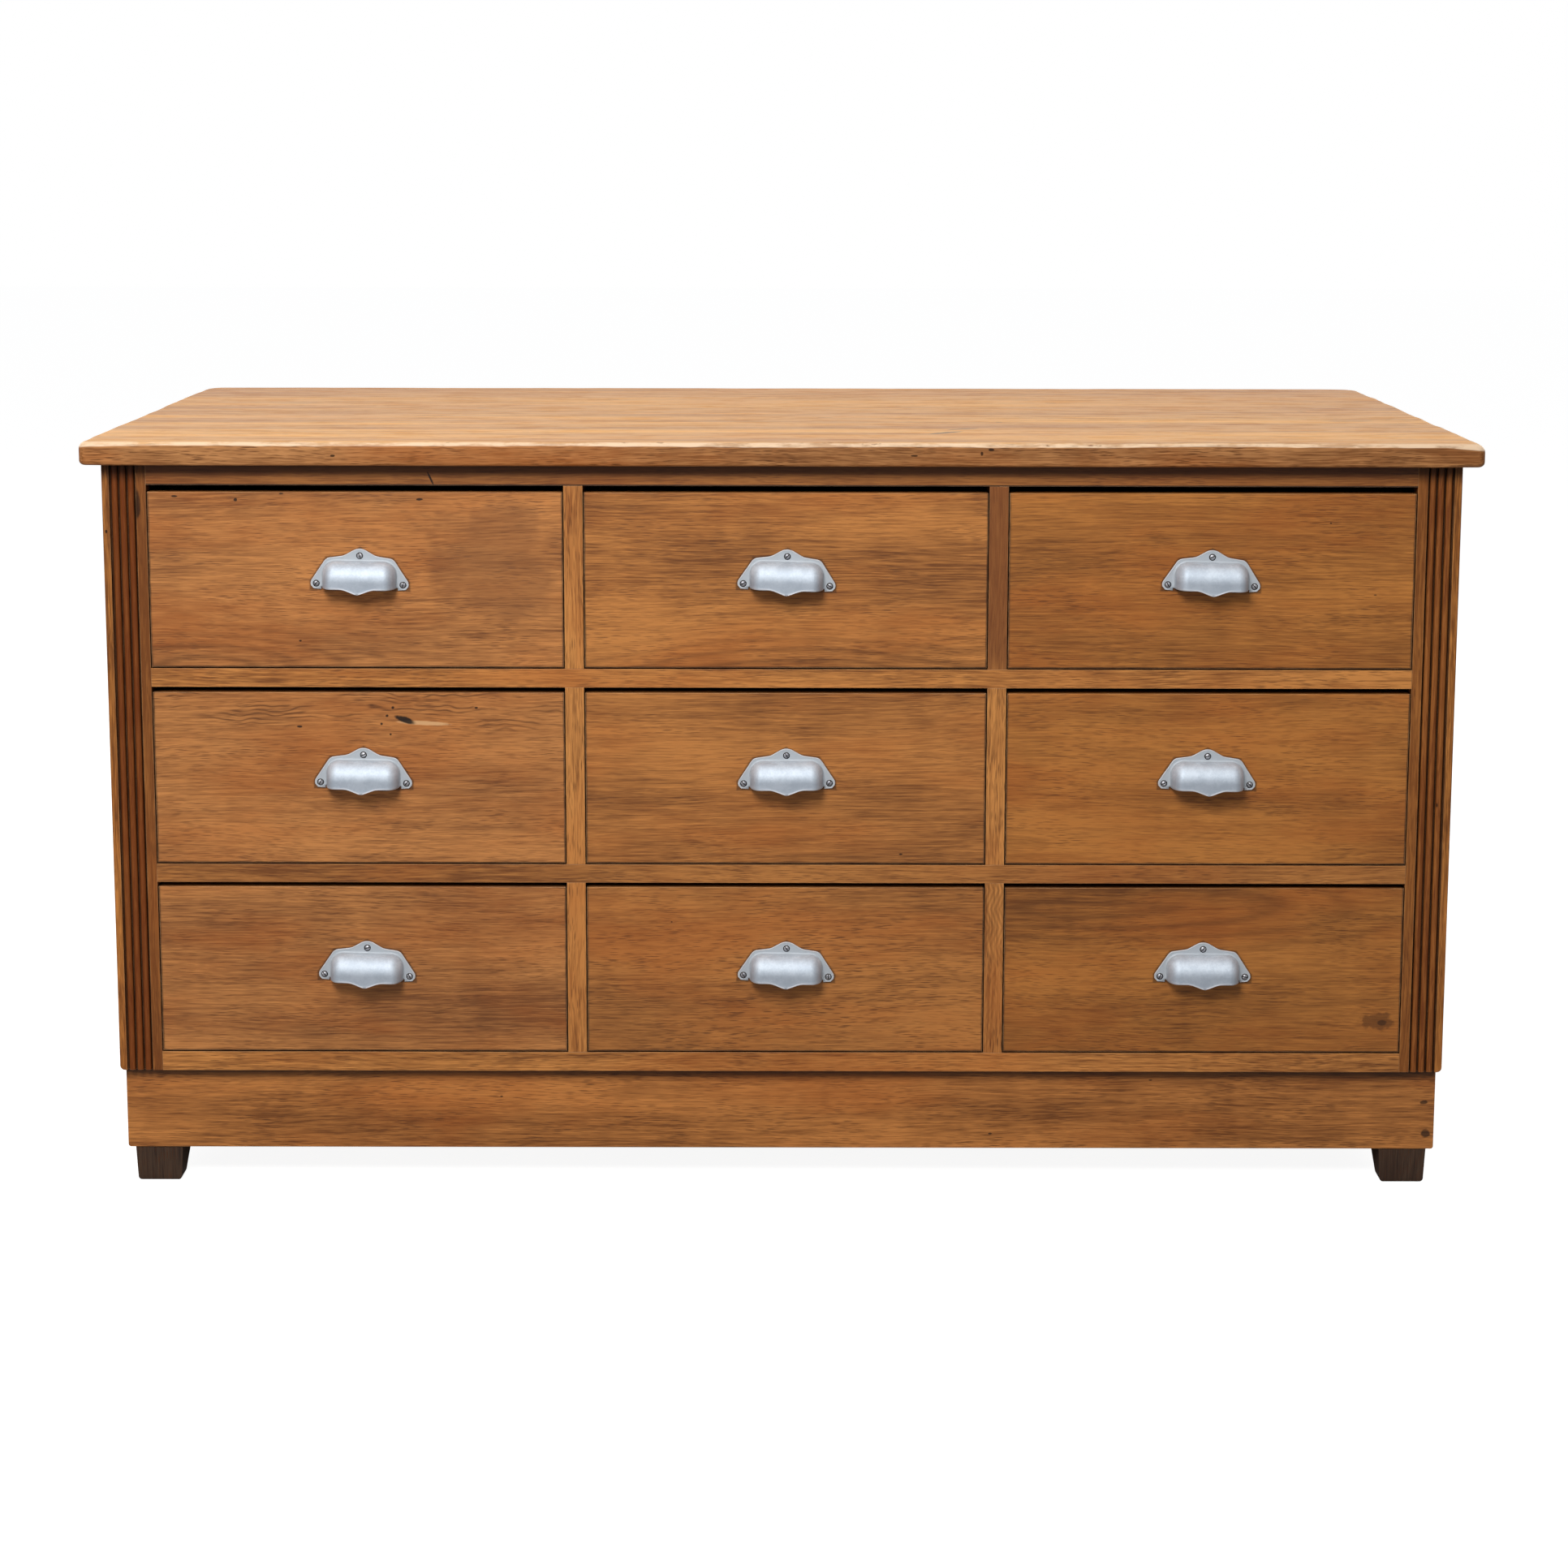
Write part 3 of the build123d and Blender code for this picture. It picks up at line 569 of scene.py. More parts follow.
def rounded_path(corners, radii, steps=9):
    """Path through corners, the inner ones rounded by circles.

    A circle's centre lies on the corner's bisector, its radius divided by the sine of half the angle away.
    Its points turn evenly from the foot on one side to the foot on the other.
    """
    corners = np.array(corners, float)
    path = [corners[:1]]
    turn = np.linspace(0, 1, steps)[:, None]
    for before, corner, after, radius in zip(corners[:-2], corners[1:-1], corners[2:], radii):
        back = (before - corner) / np.linalg.norm(before - corner)
        ahead = (after - corner) / np.linalg.norm(after - corner)
        half = np.arccos(back @ ahead) / 2
        middle = corner + (back + ahead) / np.linalg.norm(back + ahead) * radius / np.sin(half)
        first, last = (corner + way * radius / np.tan(half) - middle for way in (back, ahead))
        angle = pi - 2 * half
        swept = np.sin((1 - turn) * angle) * first + np.sin(turn * angle) * last
        path.append(middle + swept / np.sin(angle))
    path.append(corners[-1:])
    return np.concatenate(path)


def distances(path):
    """Length of the path from its start to each of its points."""
    return np.concatenate([[0.0], np.cumsum(np.linalg.norm(np.diff(path, axis=0), axis=1))])


def along(path, places):
    """Points at the given distances along a path."""
    return np.stack([np.interp(places, distances(path), path[:, axis]) for axis in (0, 1)], axis=1)


def side_of(path):
    """Unit normals to the right of each point's direction along an open path."""
    way = np.gradient(path, axis=0)
    way /= np.linalg.norm(way, axis=1, keepdims=True)
    return np.stack([way[:, 1], -way[:, 0]], axis=1)


# Pulls, in millimetres: x across, z up from the peak of the plate, y out of the drawer front as a height

PULL_PIVOT = -25.0
PLATE_BOTTOM, PLATE_HEIGHT = -44.8, 1.2
CUP_HALF, CUP_TOP, CUP_CORNER, CUP_DEPTH = 39.5, -13.6, 14.0, 22.0
PLAN_CORNER, BROW, FLARE = 12.0, 20.0, 1.8
LIP_END, LIP_TIP, LIP_HALF = -42.0, 5.6, 19.0
LIP_BEAD, LIP_BEAD_HALF = 0.45, 1.1
SHEET_THICKNESS, PULL_DENTS = 1.1, 7
HALF_PLATE = [(-CUP_HALF - FLARE, PLATE_BOTTOM), (-53.0, PLATE_BOTTOM), (-53.0, -36.3), (-36.2, -10.6),
              (-17.4, -7.9)]
HALF_RADII = (6.1, 6.1, 8.5, 16.0)
PEAK, PEAK_RADIUS = (0.0, 2.15), 14.0
RIM_INSET = np.array((0.0, 0.06, 0.2, 0.45, 0.8, 1.2, 1.8))
RIM_HEIGHT = np.array((0.25, 0.75, 1.1, 1.3, 1.32, 1.25, 1.18))
RIM_SHINE = np.array((1, 1, 1, 0.8, 0.4, 0.15, 0))
SCREWS = ((0.0, -7.6), (-46.7, -38.5), (46.7, -38.5))

# Distances along the left half of the cup's foot and of the plate's outline that lie opposite each other
CORNER_START, CORNER_END = 14.4, 36.4
FOOT_MARKS = (0, 2.5, 7, CORNER_START, 25.4, CORNER_END, 46.4)
PLATE_MARKS = (0, 11.5, 18, 28, 49, 58, 70)


def lip_line(x):
    """Height of the lower lip: level at the ends, then down to a soft tip, by a cosine and a power curve."""
    t = np.clip(np.abs(x) / LIP_HALF, 0, 1)
    return LIP_END - LIP_TIP * (0.25 + 0.25 * np.cos(pi * t) + 0.5 * (1 - t) ** 1.6)


def cup_height(x, z):
    """Height of the cup: its depth times a quarter ellipse in plan and a quarter circle below its edge."""
    plan = np.sqrt(1 - np.clip((np.abs(x) - CUP_HALF + PLAN_CORNER) / PLAN_CORNER, 0, 1) ** 2)
    corner = np.clip(np.abs(x) - CUP_HALF + CUP_CORNER, 0, CUP_CORNER)
    edge = CUP_TOP - CUP_CORNER + np.sqrt(CUP_CORNER ** 2 - corner ** 2)
    brow = np.sqrt(1 - (1 - np.clip((edge - z) / BROW, 0, 1)) ** 2)
    base = PLATE_HEIGHT + FLARE
    return base + (CUP_DEPTH - base) * plan * brow


def pull_turn(index):
    """How far a pull hangs askew: most of them a little clockwise."""
    return radians(np.random.default_rng(40 + index).uniform(-0.6, 1.8))


def both_halves(half, whole):
    """Distances along half of a path, carried on in reverse over its other half."""
    return np.concatenate([half, whole - half[-2::-1]])


def pull_sheet(draw):
    """Plate and cup as one pressed sheet: rows run inwards from the plate's outline to the tip of the lip.

    The plate's rows follow its outline by the rim's inset, then cross to the foot of the cup. The cup's
    rows shrink its outline towards the tip while each point keeps its share of the height above the lip
    line. Small bell curves dent the cup, and one more along the lip makes its bead.
    """
    plate = HALF_PLATE + [PEAK] + [(-x, z) for x, z in reversed(HALF_PLATE)]
    outer_path = rounded_path(plate, HALF_RADII + (PEAK_RADIUS,) + HALF_RADII[::-1])
    foot = [(-CUP_HALF, LIP_END), (-CUP_HALF, CUP_TOP), (CUP_HALF, CUP_TOP), (CUP_HALF, LIP_END)]
    inner_path = rounded_path(foot, (CUP_CORNER, CUP_CORNER), steps=17)
    outer_length, inner_length = distances(outer_path)[-1], distances(inner_path)[-1]
    outer_marks = both_halves(np.array(PLATE_MARKS + (outer_length / 2,)), outer_length)
    inner_marks = both_halves(np.array(FOOT_MARKS + (inner_length / 2,)), inner_length)
    half = np.concatenate([np.linspace(0, CORNER_START, 9), np.linspace(CORNER_START, CORNER_END, 17)[1:],
                           np.linspace(CORNER_END, inner_length / 2, 19)[1:]])
    places = both_halves(half, inner_length)
    inner = along(inner_path, places)
    outer = along(outer_path, np.interp(places, inner_marks, outer_marks))

    rim = outer + side_of(outer) * RIM_INSET[:, None, None]
    bend = np.linspace(0, radians(80), 5)
    flare = inner - side_of(inner) * (FLARE * (1 - np.sin(bend)))[:, None, None]
    across = np.linspace(0, 1, 5)[1:-1, None, None]
    field = rim[-1] + (flare[0] - rim[-1]) * across
    shrink = np.sin(np.linspace(pi / 2, 0, 30))[:, None]
    lift = inner[:, 1] - lip_line(inner[:, 0])
    x = shrink * inner[:, 0]
    cup = np.stack([x, lip_line(x) + shrink * lift], axis=-1)

    flat = np.concatenate([rim, field, flare, cup])
    base = np.concatenate([RIM_HEIGHT, np.full(len(field), PLATE_HEIGHT),
                           PLATE_HEIGHT + FLARE * (1 - np.cos(bend))])
    base = np.repeat(base[:, None], len(places), axis=1)
    height = np.concatenate([base, cup_height(cup[..., 0], cup[..., 1])])
    inside = np.clip((height - 6) / 12, 0, 1)
    for dent in range(PULL_DENTS):
        centre = (draw.uniform(-30, 30), draw.uniform(-40, -18))
        reach = ((flat - centre) ** 2).sum(axis=-1)
        height += inside * draw.uniform(-0.32, 0.12) * np.exp(-reach / draw.uniform(12, 60))
    near_lip = np.exp(-((flat[..., 1] - lip_line(flat[..., 0])) / LIP_BEAD_HALF) ** 2) * inside
    height += LIP_BEAD * near_lip
    # brighter marks on the rim and lip bead: their wear, with a painted highlight
    shine = np.zeros(height.shape)
    shine[:len(RIM_SHINE)] = RIM_SHINE[:, None]
    return flat[:, ::-1], height[:, ::-1], np.maximum(shine, near_lip)[:, ::-1]


def screw_sheet():
    """Domed head with a slot: rings from the middle outwards, down the side and closed behind.

    The dome drops with the square of the radius, and the slot is cut by a smooth step across its width.
    """
    radius, dome, foot = 2.9, 1.2, 0.5
    slot_half, slot_edge, slot_depth, slot_floor = 0.5, 0.16, 0.8, 0.35
    reach = np.concatenate([np.linspace(0, 1, 12), (1.02, 1.28, 1.3, 0.0)])[:, None]
    angle = np.linspace(2 * pi, 0, 49)[:-1]
    x, z = radius * reach * np.cos(angle), radius * reach * np.sin(angle)
    height = foot + dome * (1 - np.minimum(reach, 1) ** 2) + 0 * angle
    side = np.clip((np.abs(z) - slot_half + slot_edge) / (2 * slot_edge), 0, 1)
    cut = (1 - side * side * (3 - 2 * side)) * slot_depth
    height = np.maximum(height - cut, slot_floor)
    height[-4:-2] = np.array((0.12, 0.08))[:, None]
    height[-2:] = -foot
    # the slot and the head's rim, marked for painted shade with dirt in them
    dark = np.clip(cut / slot_depth, 0, 1) + np.clip((reach - 0.9) / 0.1, 0, 1)
    return x, z, height, np.clip(dark, 0, 1)


def metal(name, light, dark, dull_and_shade, rough, metallic):
    """Satin metal with cloudy tarnish, fine scratches and painted shade in its corners.

    The piece's own marks give it a brighter edge (wear with a painted highlight), a duller plate (on a screw,
    its slot and rim in painted shade) and a cup whose lower half is painted greyer, a painted reflection of
    the dim room in front.
    """
    f = Finish(name)
    cloud, fine = f.cloud(60.0, 4.0, 0.6), f.cloud(420.0, 3.0, 0.7)
    scratch = f.noise(f.stretch(f.place, (90.0, 900.0, 1500.0)), 2.0, 0.6)
    edge, cup, wear_and_shade = (f.add("Attribute", output="Fac", attribute_name=mark)
                         for mark in ("edge", "cup", "wear_and_shade"))
    colour = f.mix(f.band(f.total(f.scaled(cloud, 0.6), f.scaled(fine, 0.4)), 0.36, 0.64), dark, light)
    # duller plate on a pull; on a screw, painted shade with dirt in the slot and round the rim
    colour = f.mix(f.scaled(cup, -1.0, 1.0), colour, dull_and_shade)
    # painted reflection: the cup's lower half greyer, as it mirrors the dim room in front
    colour = f.mix(f.scaled(wear_and_shade, 0.5), colour, tint(140, 147, 158))
    # painted highlight on the rim and lip bead, with their wear
    colour = f.mix(f.scaled(edge, 0.55), colour, tint(226, 218, 214))
    # painted shade in corners, found by ambient occlusion
    shut_in = f.add("AmbientOcclusion", {"Distance": 4 * MM}, output=1, samples=6)
    colour = f.mix(f.band(shut_in, 0.7, 0.15, 0.0, 0.6), colour, tint(60, 58, 60))
    roughness = f.total(f.scaled(cloud, 0.16), f.scaled(fine, 0.1), f.scaled(cup, -0.05, rough))
    height = f.total(f.scaled(fine, 0.6), f.scaled(scratch, 0.4))
    return f.finish(colour, roughness, (height, 0.16, 0.2 * MM), Metallic=metallic)


def make_pulls():
    """Pressed cup pull and slotted screws on each drawer, a little different and a little askew on each."""
    sheen = metal("pull_metal", light=tint(210, 218, 226), dark=tint(188, 197, 207),
                  dull_and_shade=tint(186, 191, 196), rough=0.61, metallic=0.62)
    # the screws' dark dull colour is painted shade in the slots and round the heads
    steel = metal("screw_metal", light=tint(176, 176, 180), dark=tint(130, 130, 136),
                  dull_and_shade=tint(62, 58, 56), rough=0.38, metallic=0.72)
    for index, name in enumerate(DRAWERS):
        draw = np.random.default_rng(40 + index)
        low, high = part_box(f"{name}_pull")
        middle, peak = (low.x + high.x) / 2, high.z
        turn = pull_turn(index)

        def seat(x, z, height):
            """Local millimetres turned a little about the middle of the pull and set on the drawer front."""
            down = z - PULL_PIVOT
            across = x * np.cos(turn) + down * np.sin(turn)
            up = PULL_PIVOT - x * np.sin(turn) + down * np.cos(turn)
            return np.stack([middle + across * MM, FACE - height * MM, peak + up * MM], axis=-1)

        flat, height, edge = pull_sheet(draw)
        sheet = seat(flat[..., 0], flat[..., 1], height)
        cup = np.clip((height - 3.5) / 3, 0, 1)
        # the cup's lower half, painted greyer as a painted reflection of the dim room in front
        wear_and_shade = cup * np.clip((PULL_PIVOT - flat[..., 1]) / 10, 0, 1)
        pull = grid_piece(f"{name}_cup_pull", [(sheet, False, False)], sheen, name,
                          marks={"edge": edge, "cup": cup, "wear_and_shade": wear_and_shade})
        skin = pull.modifiers.new("sheet_thickness", "SOLIDIFY")
        skin.thickness, skin.offset, skin.use_even_offset = SHEET_THICKNESS * MM, -1.0, False
        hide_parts(f"{name}_pull")

        x, z, rise, dark = screw_sheet()
        heads = []
        for across, up in SCREWS:
            spin = draw.uniform(0, pi)
            u, w = x * np.cos(spin) - z * np.sin(spin), x * np.sin(spin) + z * np.cos(spin)
            heads.append((seat(across + u, up + w, PLATE_HEIGHT + rise), False, True))
        # bright except in the slot and round the rim, where painted shade goes
        bright = np.tile(1 - dark, (len(SCREWS), 1))
        screws = grid_piece(f"{name}_screw_heads", heads, steel, name,
                            marks={"edge": np.zeros(bright.shape), "cup": bright})
        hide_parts(f"{name}_screws")


# Top slab, in millimetres

SLAB_HALF = TOP_HIGH.x / MM
SLAB_FRONT, SLAB_BACK = TOP_LOW.y / MM, TOP_HIGH.y / MM
SLAB_CORNERS = ((-1, 9.0), (1, 25.0))  # radii in front and behind
BORDER = 25.0  # the grid is finer in it
BOARD_JOINTS = (-235.0, -40.0, 85.0, 215.0)
HOLLOW, RUFFLE, SLAB_DENTS = 0.5, 0.2, 26
JOINT_DEPTH, JOINT_HALF = 0.45, 0.8
UPPER_WEAR, LOWER_WEAR = 6.2, 3.2
WEAR_REACH, WEAR_FADE = 45, 40  # the ends are worn most, from so far in, over such a length

# Marks on the top: across, up or back, and two radii; gouges and scars end with how dark they are

SLAB_HOLES = [(212.7, 818.3, 1.7, 2.6), (223, 822.6, 3.6, 1.9), (141, 816, 5.0, 1.2), (-478, 815, 3.0, 1.6)]
GOUGES = ((180, -236, 10.0, 17.0, 1.0), (197, -194, 6.0, 12.0, 0.95), (211, -188, 5.0, 9.0, 0.8))
SCARS = ((248, -110, 5.0, 4.5, 0.6), (-500, -170, 9.0, 4.0, 0.5), (-460, -190, 12.0, 3.6, 0.5),
         (410, -145, 10.0, 3.4, 0.5), (620, 30, 7.0, 4.5, 0.6), (-210, 180, 8.0, 3.6, 0.5),
         (330, 140, 9.0, 3.4, 0.5), (50, -60, 13.0, 3.0, 0.5), (-360, 60, 9.0, 3.0, 0.5))
STAINS = [(655, -85, 34.0, 15.0), (700, -130, 22.0, 9.0), (-600, 120, 40.0, 12.0)]


def round_corner(x, y, across, back, radius):
    """Takes the grid's square corner to a quarter circle and gives the depth inside its outline there.

    In the corner's square, u and v run from 0 at the circle's centre to 1 at the outer sides. They move to
    u times the root of 1 - v squared / 2 and v times the root of 1 - u squared / 2.
    """
    centre_x = across * (SLAB_HALF - radius)
    centre_y = (SLAB_BACK if back > 0 else SLAB_FRONT) - back * radius
    u, v = (x - centre_x) / radius * across, (y - centre_y) / radius * back
    inside = (u > 0) & (v > 0)
    u, v = np.where(inside, u, 0), np.where(inside, v, 0)
    round_u, round_v = u * np.sqrt(1 - v * v / 2), v * np.sqrt(1 - u * u / 2)
    new_x = np.where(inside, centre_x + across * radius * round_u, x)
    new_y = np.where(inside, centre_y + back * radius * round_v, y)
    return new_x, new_y, inside, radius * (1 - np.hypot(round_u, round_v))


def waves(draw, x, y, longest, count):
    """Wavy field: a sum of plane waves with drawn directions and phases that grow shorter and weaker."""
    total = np.zeros(x.shape)
    for step in range(1, count + 1):
        angle, phase = draw.uniform(0, 2 * pi, 2)
        way = x * np.cos(angle) + y * np.sin(angle)
        total += np.cos(2 * pi * step / longest * way + phase) / step ** 0.7
    return total / count ** 0.5


def slab_grid():
    """Grid of the slab's plan with rounded corners, and the depth of each point inside the outline."""
    near_edge = np.array((0, 0.25, 0.6, 1.1, 1.8, 2.7, 3.8, 5.2, 7.0, 9.0, 12.0, 16.0, 20.0, BORDER))
    near_joint = np.array((-3.0, -1.4, -0.6, 0.0, 0.6, 1.4, 3.0))
    middle_x = np.linspace(-SLAB_HALF + BORDER, SLAB_HALF - BORDER, 230)[1:-1]
    middle_y = np.linspace(SLAB_FRONT + BORDER, SLAB_BACK - BORDER, 60)[1:-1]
    joints = (np.array(BOARD_JOINTS)[:, None] + near_joint).ravel()
    columns = np.concatenate([-SLAB_HALF + near_edge, middle_x, (SLAB_HALF - near_edge)[::-1]])
    rows = np.concatenate([SLAB_FRONT + near_edge, middle_y, joints, SLAB_BACK - near_edge])
    x, y = np.meshgrid(columns, np.unique(np.round(rows, 3)))
    depth = np.minimum(SLAB_HALF - np.abs(x), np.minimum(y - SLAB_FRONT, SLAB_BACK - y))
    for across in (-1, 1):
        for back, radius in SLAB_CORNERS:
            x, y, inside, corner_depth = round_corner(x, y, across, back, radius)
            depth = np.where(inside, corner_depth, depth)
    return x, y, np.maximum(depth, 0)


def worn_drop(depth, wear, width=1.0):
    """Drop of an edge by a quarter ellipse, as high as the wear and wider by a factor."""
    return wear * (1 - np.sqrt(1 - (1 - np.clip(depth / wear / width, 0, 1)) ** 2))


def make_top():
    """Worn slab: one grid for the top and one below, and a strip round its side.

    Its height drops to the arris by a quarter ellipse of the depth inside the outline, as wide and high as
    the wear there, which grows towards the ends and most at the right. Each glued board is hollow by a
    parabola between its joints, and a joint and a dent are bell curves.
    """
    draw = np.random.default_rng(7)
    x, y, depth = slab_grid()
    ends = np.clip((np.abs(x) - SLAB_HALF + WEAR_REACH) / WEAR_FADE, 0, 1)
    worn = UPPER_WEAR * (1 + 0.28 * waves(draw, x, y, 260, 12)) * (1 + ends * np.where(x > 0, 0.55, 0.2))
    blunt = LOWER_WEAR * (1 + 0.22 * waves(draw, x, y, 220, 8)) * (1 + ends * np.where(x > 0, 1.1, 0.5))
    upper = (TOP_HIGH.z - TOP_LOW.z) / MM - worn_drop(depth, worn, 1.3)
    lower = worn_drop(depth, blunt)

    edges = np.array((SLAB_FRONT,) + BOARD_JOINTS + (SLAB_BACK,))
    board = np.clip(np.searchsorted(edges, y) - 1, 0, len(edges) - 2)
    share = (y - edges[board]) / (edges[board + 1] - edges[board]) * 2 - 1
    inner = np.clip(depth / 14, 0, 1)
    upper -= inner * (HOLLOW * (1 - share ** 2) + RUFFLE * (1 + waves(draw, x, y, 400, 6)))
    for line in BOARD_JOINTS:
        upper -= inner * JOINT_DEPTH * np.exp(-((y - line) / JOINT_HALF) ** 2)
    for dent in range(SLAB_DENTS):
        place = (draw.uniform(-SLAB_HALF, SLAB_HALF), draw.uniform(SLAB_FRONT, SLAB_BACK))
        reach = ((x - place[0]) ** 2 + (y - place[1]) ** 2) / draw.uniform(40, 200)
        upper -= inner * draw.uniform(0.1, 0.5) * np.exp(-reach)

    def placed(height):
        """Points of the grid at a height above the underside, in metres."""
        return np.stack([x * MM, y * MM, TOP_LOW.z + height * MM], axis=-1)

    def rim(sheet):
        """Outline of a grid, round from its front left corner."""
        return np.concatenate([sheet[0, :-1], sheet[:-1, -1], sheet[-1, :0:-1], sheet[:0:-1, 0]])

    top, bottom = placed(upper), placed(lower)
    share = np.linspace(0, 1, 6)[:, None, None]
    side = rim(bottom) * (1 - share) + rim(top) * share
    sheets = [(top, False, False), (bottom[::-1], False, False), (side, False, True)]
    slab = grid_piece("worn_top", sheets, top_finish(), "carcass")
    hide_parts("top")


def scrubbed_boards(top):
    """Upper face of the top: each glued board has its own tone and its own stretch of the figure.

    Towards the back the wood is painted darker, a painted shade against the brighter sheen the back catches.
    The joints are broken dark lines beside pale ones.
    """
    depth = top.axes[BACK]
    board = top.total(*(top.maths("GREATER_THAN", depth, line * MM) for line in BOARD_JOINTS))
    apart = top.add("CombineXYZ", {0: top.scaled(board, 2.3), 1: top.scaled(board, 0.7), 2: 0.0})
    laid = top.add("VectorMath", {0: top.turned, 1: apart}, operation="ADD")
    own = top.scaled(top.maths("SINE", top.scaled(board, 2.4, 0.6)), 0.17)
    lanes = top.noise(top.stretch(laid, (0.9, 24.0, 24.0), (1.3, 6.1, 0.0)), 5.0, 0.60)
    fine = top.noise(top.stretch(top.grain, (4.0, 150.0, 150.0), (2.3, 1.1, 0.0)), 4.0, 0.6)
    value = top.total(top.scaled(lanes, 2.7, -0.90), top.scaled(fine, 2.0, -0.95), own)
    top.colour = top.mix(top.clamped(value), tint(134, 75, 23), tint(214, 148, 55))
    flesh = top.noise(top.stretch(top.turned, (3.5, 14.0, 14.0), (8.0, 3.0, 5.0)), 3.0, 0.6)
    top.paint(top.band(flesh, 0.42, 0.72, 0.0, 0.5), tint(188, 123, 55))
    # painted shade: darker towards the back, against the sheen it catches there
    top.paint(top.band(depth, -0.12, 0.33, 0.0, 0.34), tint(152, 86, 28))
    top.paint(top.fleck, PORE_WOOD, 0.55)
    for y in (line * MM for line in BOARD_JOINTS):
        dark = top.between(depth, y - 0.0006, y + 0.0006, 0.0007)
        pale = top.between(depth, y + 0.002, y + 0.0045, 0.0015)
        broken = top.noise(top.stretch(top.place, (9.0, 2.0, 2.0), (y * 90, 0, 0)), 4.0, 0.7)
        broken = top.band(broken, 0.36, 0.52)
        top.paint(top.product(dark, broken), tint(84, 50, 26), 0.65)
        top.paint(top.product(pale, top.scaled(broken, -1.0, 1.0)), tint(236, 200, 158), 0.45)


def top_finish():
    """Top: sides like the fronts, an upper face of pale scrubbed boards, also painted paler for the brighter
    light it catches, and a bright worn arris with a painted highlight.
    """
    top = Wood("top_wood", light=tint(186, 130, 80), dark=tint(126, 80, 44), seed=3.1, tone=0.55,
               blotches=1.2, streaks=1.35, pores=1.4)
    sides, up = top.colour, top.part(top.facing(), UP)
    scrubbed_boards(top)
    for x, y, wide, high, depth in GOUGES:
        top.marks(PLAN_VIEW, [(x, y, wide, high)], HOLE_AND_SHADE, depth, lean=1.2, ragged=0.2, cells=130.0)
    for x, y, wide, high, depth in SCARS:
        top.marks(PLAN_VIEW, [(x, y, wide, high)], tint(52, 36, 26), depth, ragged=0.5, cells=130.0)
    top.marks(PLAN_VIEW, STAINS, tint(104, 66, 48), 0.35, ragged=0.8, cells=45.0)
    clouds = top.noise(top.stretch(top.turned, (7.0, 22.0, 22.0), (5.0, 2.0, 6.0)), 4.0, 0.65)
    top.paint(top.band(clouds, 0.50, 0.74, 0.0, 0.28), tint(150, 92, 40))
    # upper face paler than the sides: scrubbed boards, and painted light for the brighter light on top
    top.colour = top.mix(top.band(up, 0.45, 0.93), sides, top.colour)

    rub = top.noise(top.stretch(top.place, (16.0, 60.0, 60.0)), 4.0, 0.7)
    # worn arris painted bright: wear and a painted highlight along the rounded edge
    arris_wear_and_highlight = top.product(top.between(up, 0.30, 0.975, 0.12), top.band(rub, 0.36, 0.56, 0.45, 1.0))
    top.paint(arris_wear_and_highlight, tint(246, 216, 182), 0.82)
    top.marks(FRONT_VIEW, SLAB_HOLES, HOLE_AND_SHADE, 0.85)
    nick = top.noise(top.stretch(top.place, (40.0, 120.0, 120.0), (3.0, 3.0, 3.0)), 3.0, 0.7)
    nick = top.product(top.between(up, 0.3, 0.97, 0.12), top.band(nick, 0.63, 0.72))
    top.paint(nick, tint(110, 68, 36), 0.7)
    return top.done(gloss=0.48, wax=0.12)


# Studio

FLOOR_HALF = 20.0


def soft_light(name, place, target, size, power):
    """Square softbox that looks at a point."""
    lamp = bpy.data.lights.new(name, "AREA")
    lamp.shape, lamp.size, lamp.energy = "SQUARE", size, power
    box = bpy.data.objects.new(name, lamp)
    box.location = place
    box.rotation_euler = (Vector(target) - Vector(place)).to_track_quat("-Z", "Y").to_euler()
    bpy.context.scene.collection.objects.link(box)


def make_floor():
    """White floor that keeps the chest's shadow and throws a plain grey light back at it."""
    f = Finish("studio_floor")
    matt = f.add("BsdfDiffuse", {"Color": (0.45, 0.45, 0.45, 1.0)})
    dim = f.add("BsdfDiffuse", {"Color": (0.36, 0.36, 0.36, 1.0)})
    glow = f.add("Emission", {"Color": WHITE, "Strength": 0.915})
    seen = f.add("AddShader", {0: dim, 1: glow})
    path = f.add("LightPath", output="Is Camera Ray")
    f.add("OutputMaterial", {"Surface": f.add("MixShader", {0: path, 1: matt, 2: seen})})
    near, far = -FLOOR_HALF, FLOOR_HALF
    corners = np.array([[[near, near, 0], [far, near, 0]], [[near, far, 0], [far, far, 0]]])
    grid_piece("studio_floor", [(corners, False, False)], f.material, smooth=False)


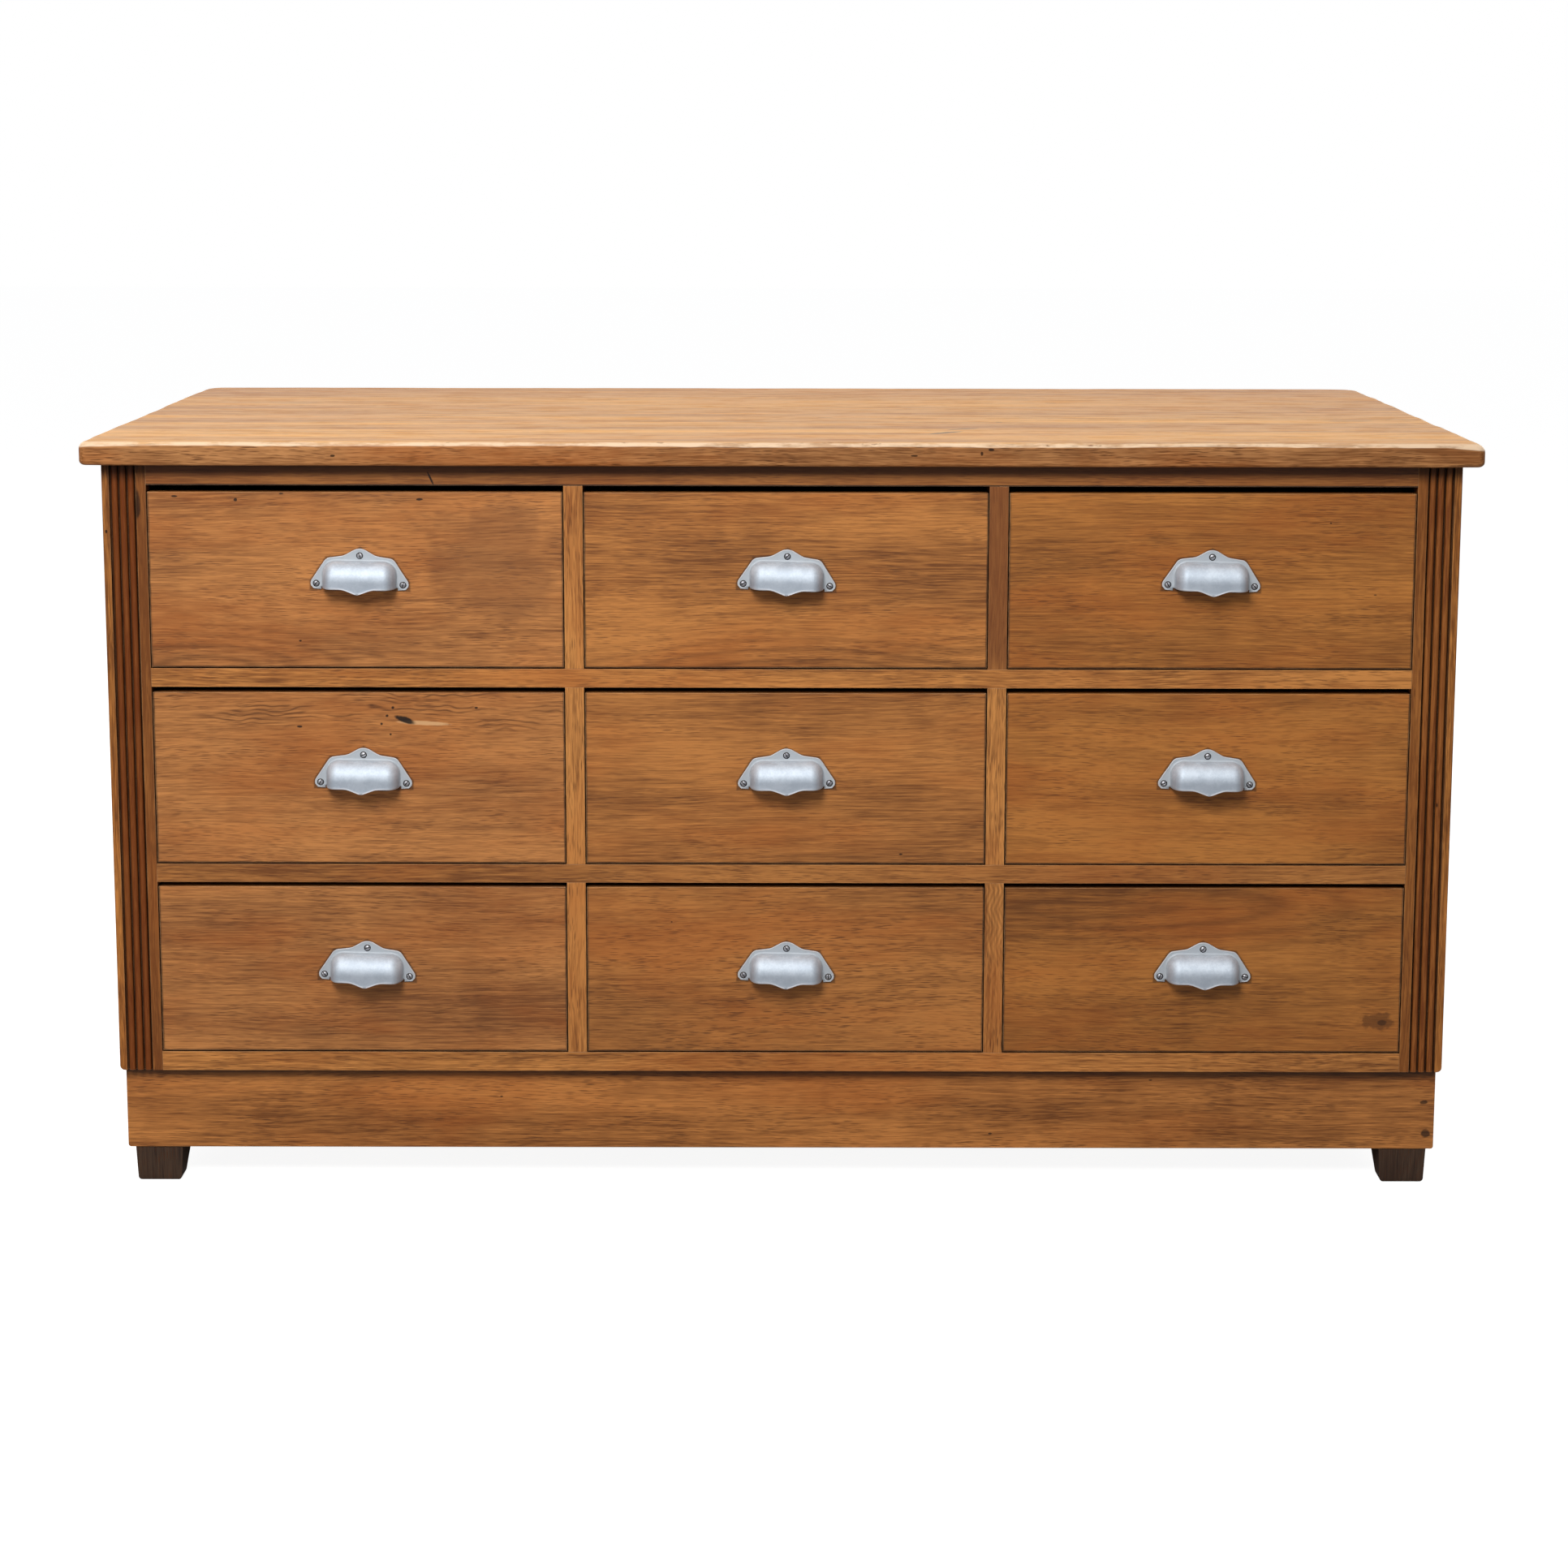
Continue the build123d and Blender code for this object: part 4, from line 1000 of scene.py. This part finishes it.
def make_room():
    """White surroundings that mirror as a room, greyer low down in front, and light the chest dimly."""
    world = bpy.data.worlds.new("studio_world")
    bpy.context.scene.world = world
    world.use_nodes = True
    w = Nodes(world.node_tree)
    way = w.add("TexCoord", output="Generated")
    bright = w.highest(w.band(w.part(way, UP), 0.05, 0.75), w.band(w.part(way, BACK), -0.3, 0.3))
    room = w.add("Background", {"Color": w.mix(bright, (0.46, 0.495, 0.54, 1.0), WHITE)})
    ambient = w.add("Background", {"Color": (0.97, 0.98, 1.0, 1.0), "Strength": 0.22})
    white = w.add("Background", {"Color": WHITE})
    sharp = w.highest(*(w.add("LightPath", output=f"Is {kind} Ray") for kind in ("Glossy", "Transmission")))
    lit = w.add("MixShader", {0: sharp, 1: ambient, 2: room})
    seen = w.add("MixShader", {0: w.add("LightPath", output="Is Camera Ray"), 1: lit, 2: white})
    w.add("OutputWorld", {"Surface": seen})


def make_lights():
    """Soft key light from the front left, a weak one above and one on each side behind."""
    soft_light("key_light", (-0.7, -2.7, 2.6), (0.0, -0.2, 0.4), size=1.2, power=90.0)
    soft_light("overhead_light", (0.0, 0.3, 3.2), (0.0, 0.0, 0.8), size=2.2, power=14.0)
    for side in (-1, 1):
        soft_light("side_light", (3.0 * side, 1.9, 1.9), (0.5 * side, 0.3, 0.4), size=1.6, power=62.0)


def make_camera():
    """The photograph's viewpoint, fitted to the chest's edges."""
    view = bpy.data.cameras.new("camera")
    view.lens, view.sensor_width = 66.35, 36.0
    view.shift_y = -0.14
    camera = bpy.data.objects.new("camera", view)
    camera.location = (0.0024, -3.408, 1.143)
    camera.rotation_mode = "ZYX"
    look_down, turned = 8.258, 0.103
    camera.rotation_euler = (radians(90 - look_down), 0.0, radians(turned))
    bpy.context.scene.collection.objects.link(camera)
    bpy.context.scene.camera = camera


dress_fronts()
dress_rails()
dress_dividers()
dress_stiles()
dress_ends()
dress_inside()
make_pulls()
make_top()
make_floor()
make_room()
make_lights()
make_camera()
bpy.context.scene.view_settings.view_transform = "Standard"
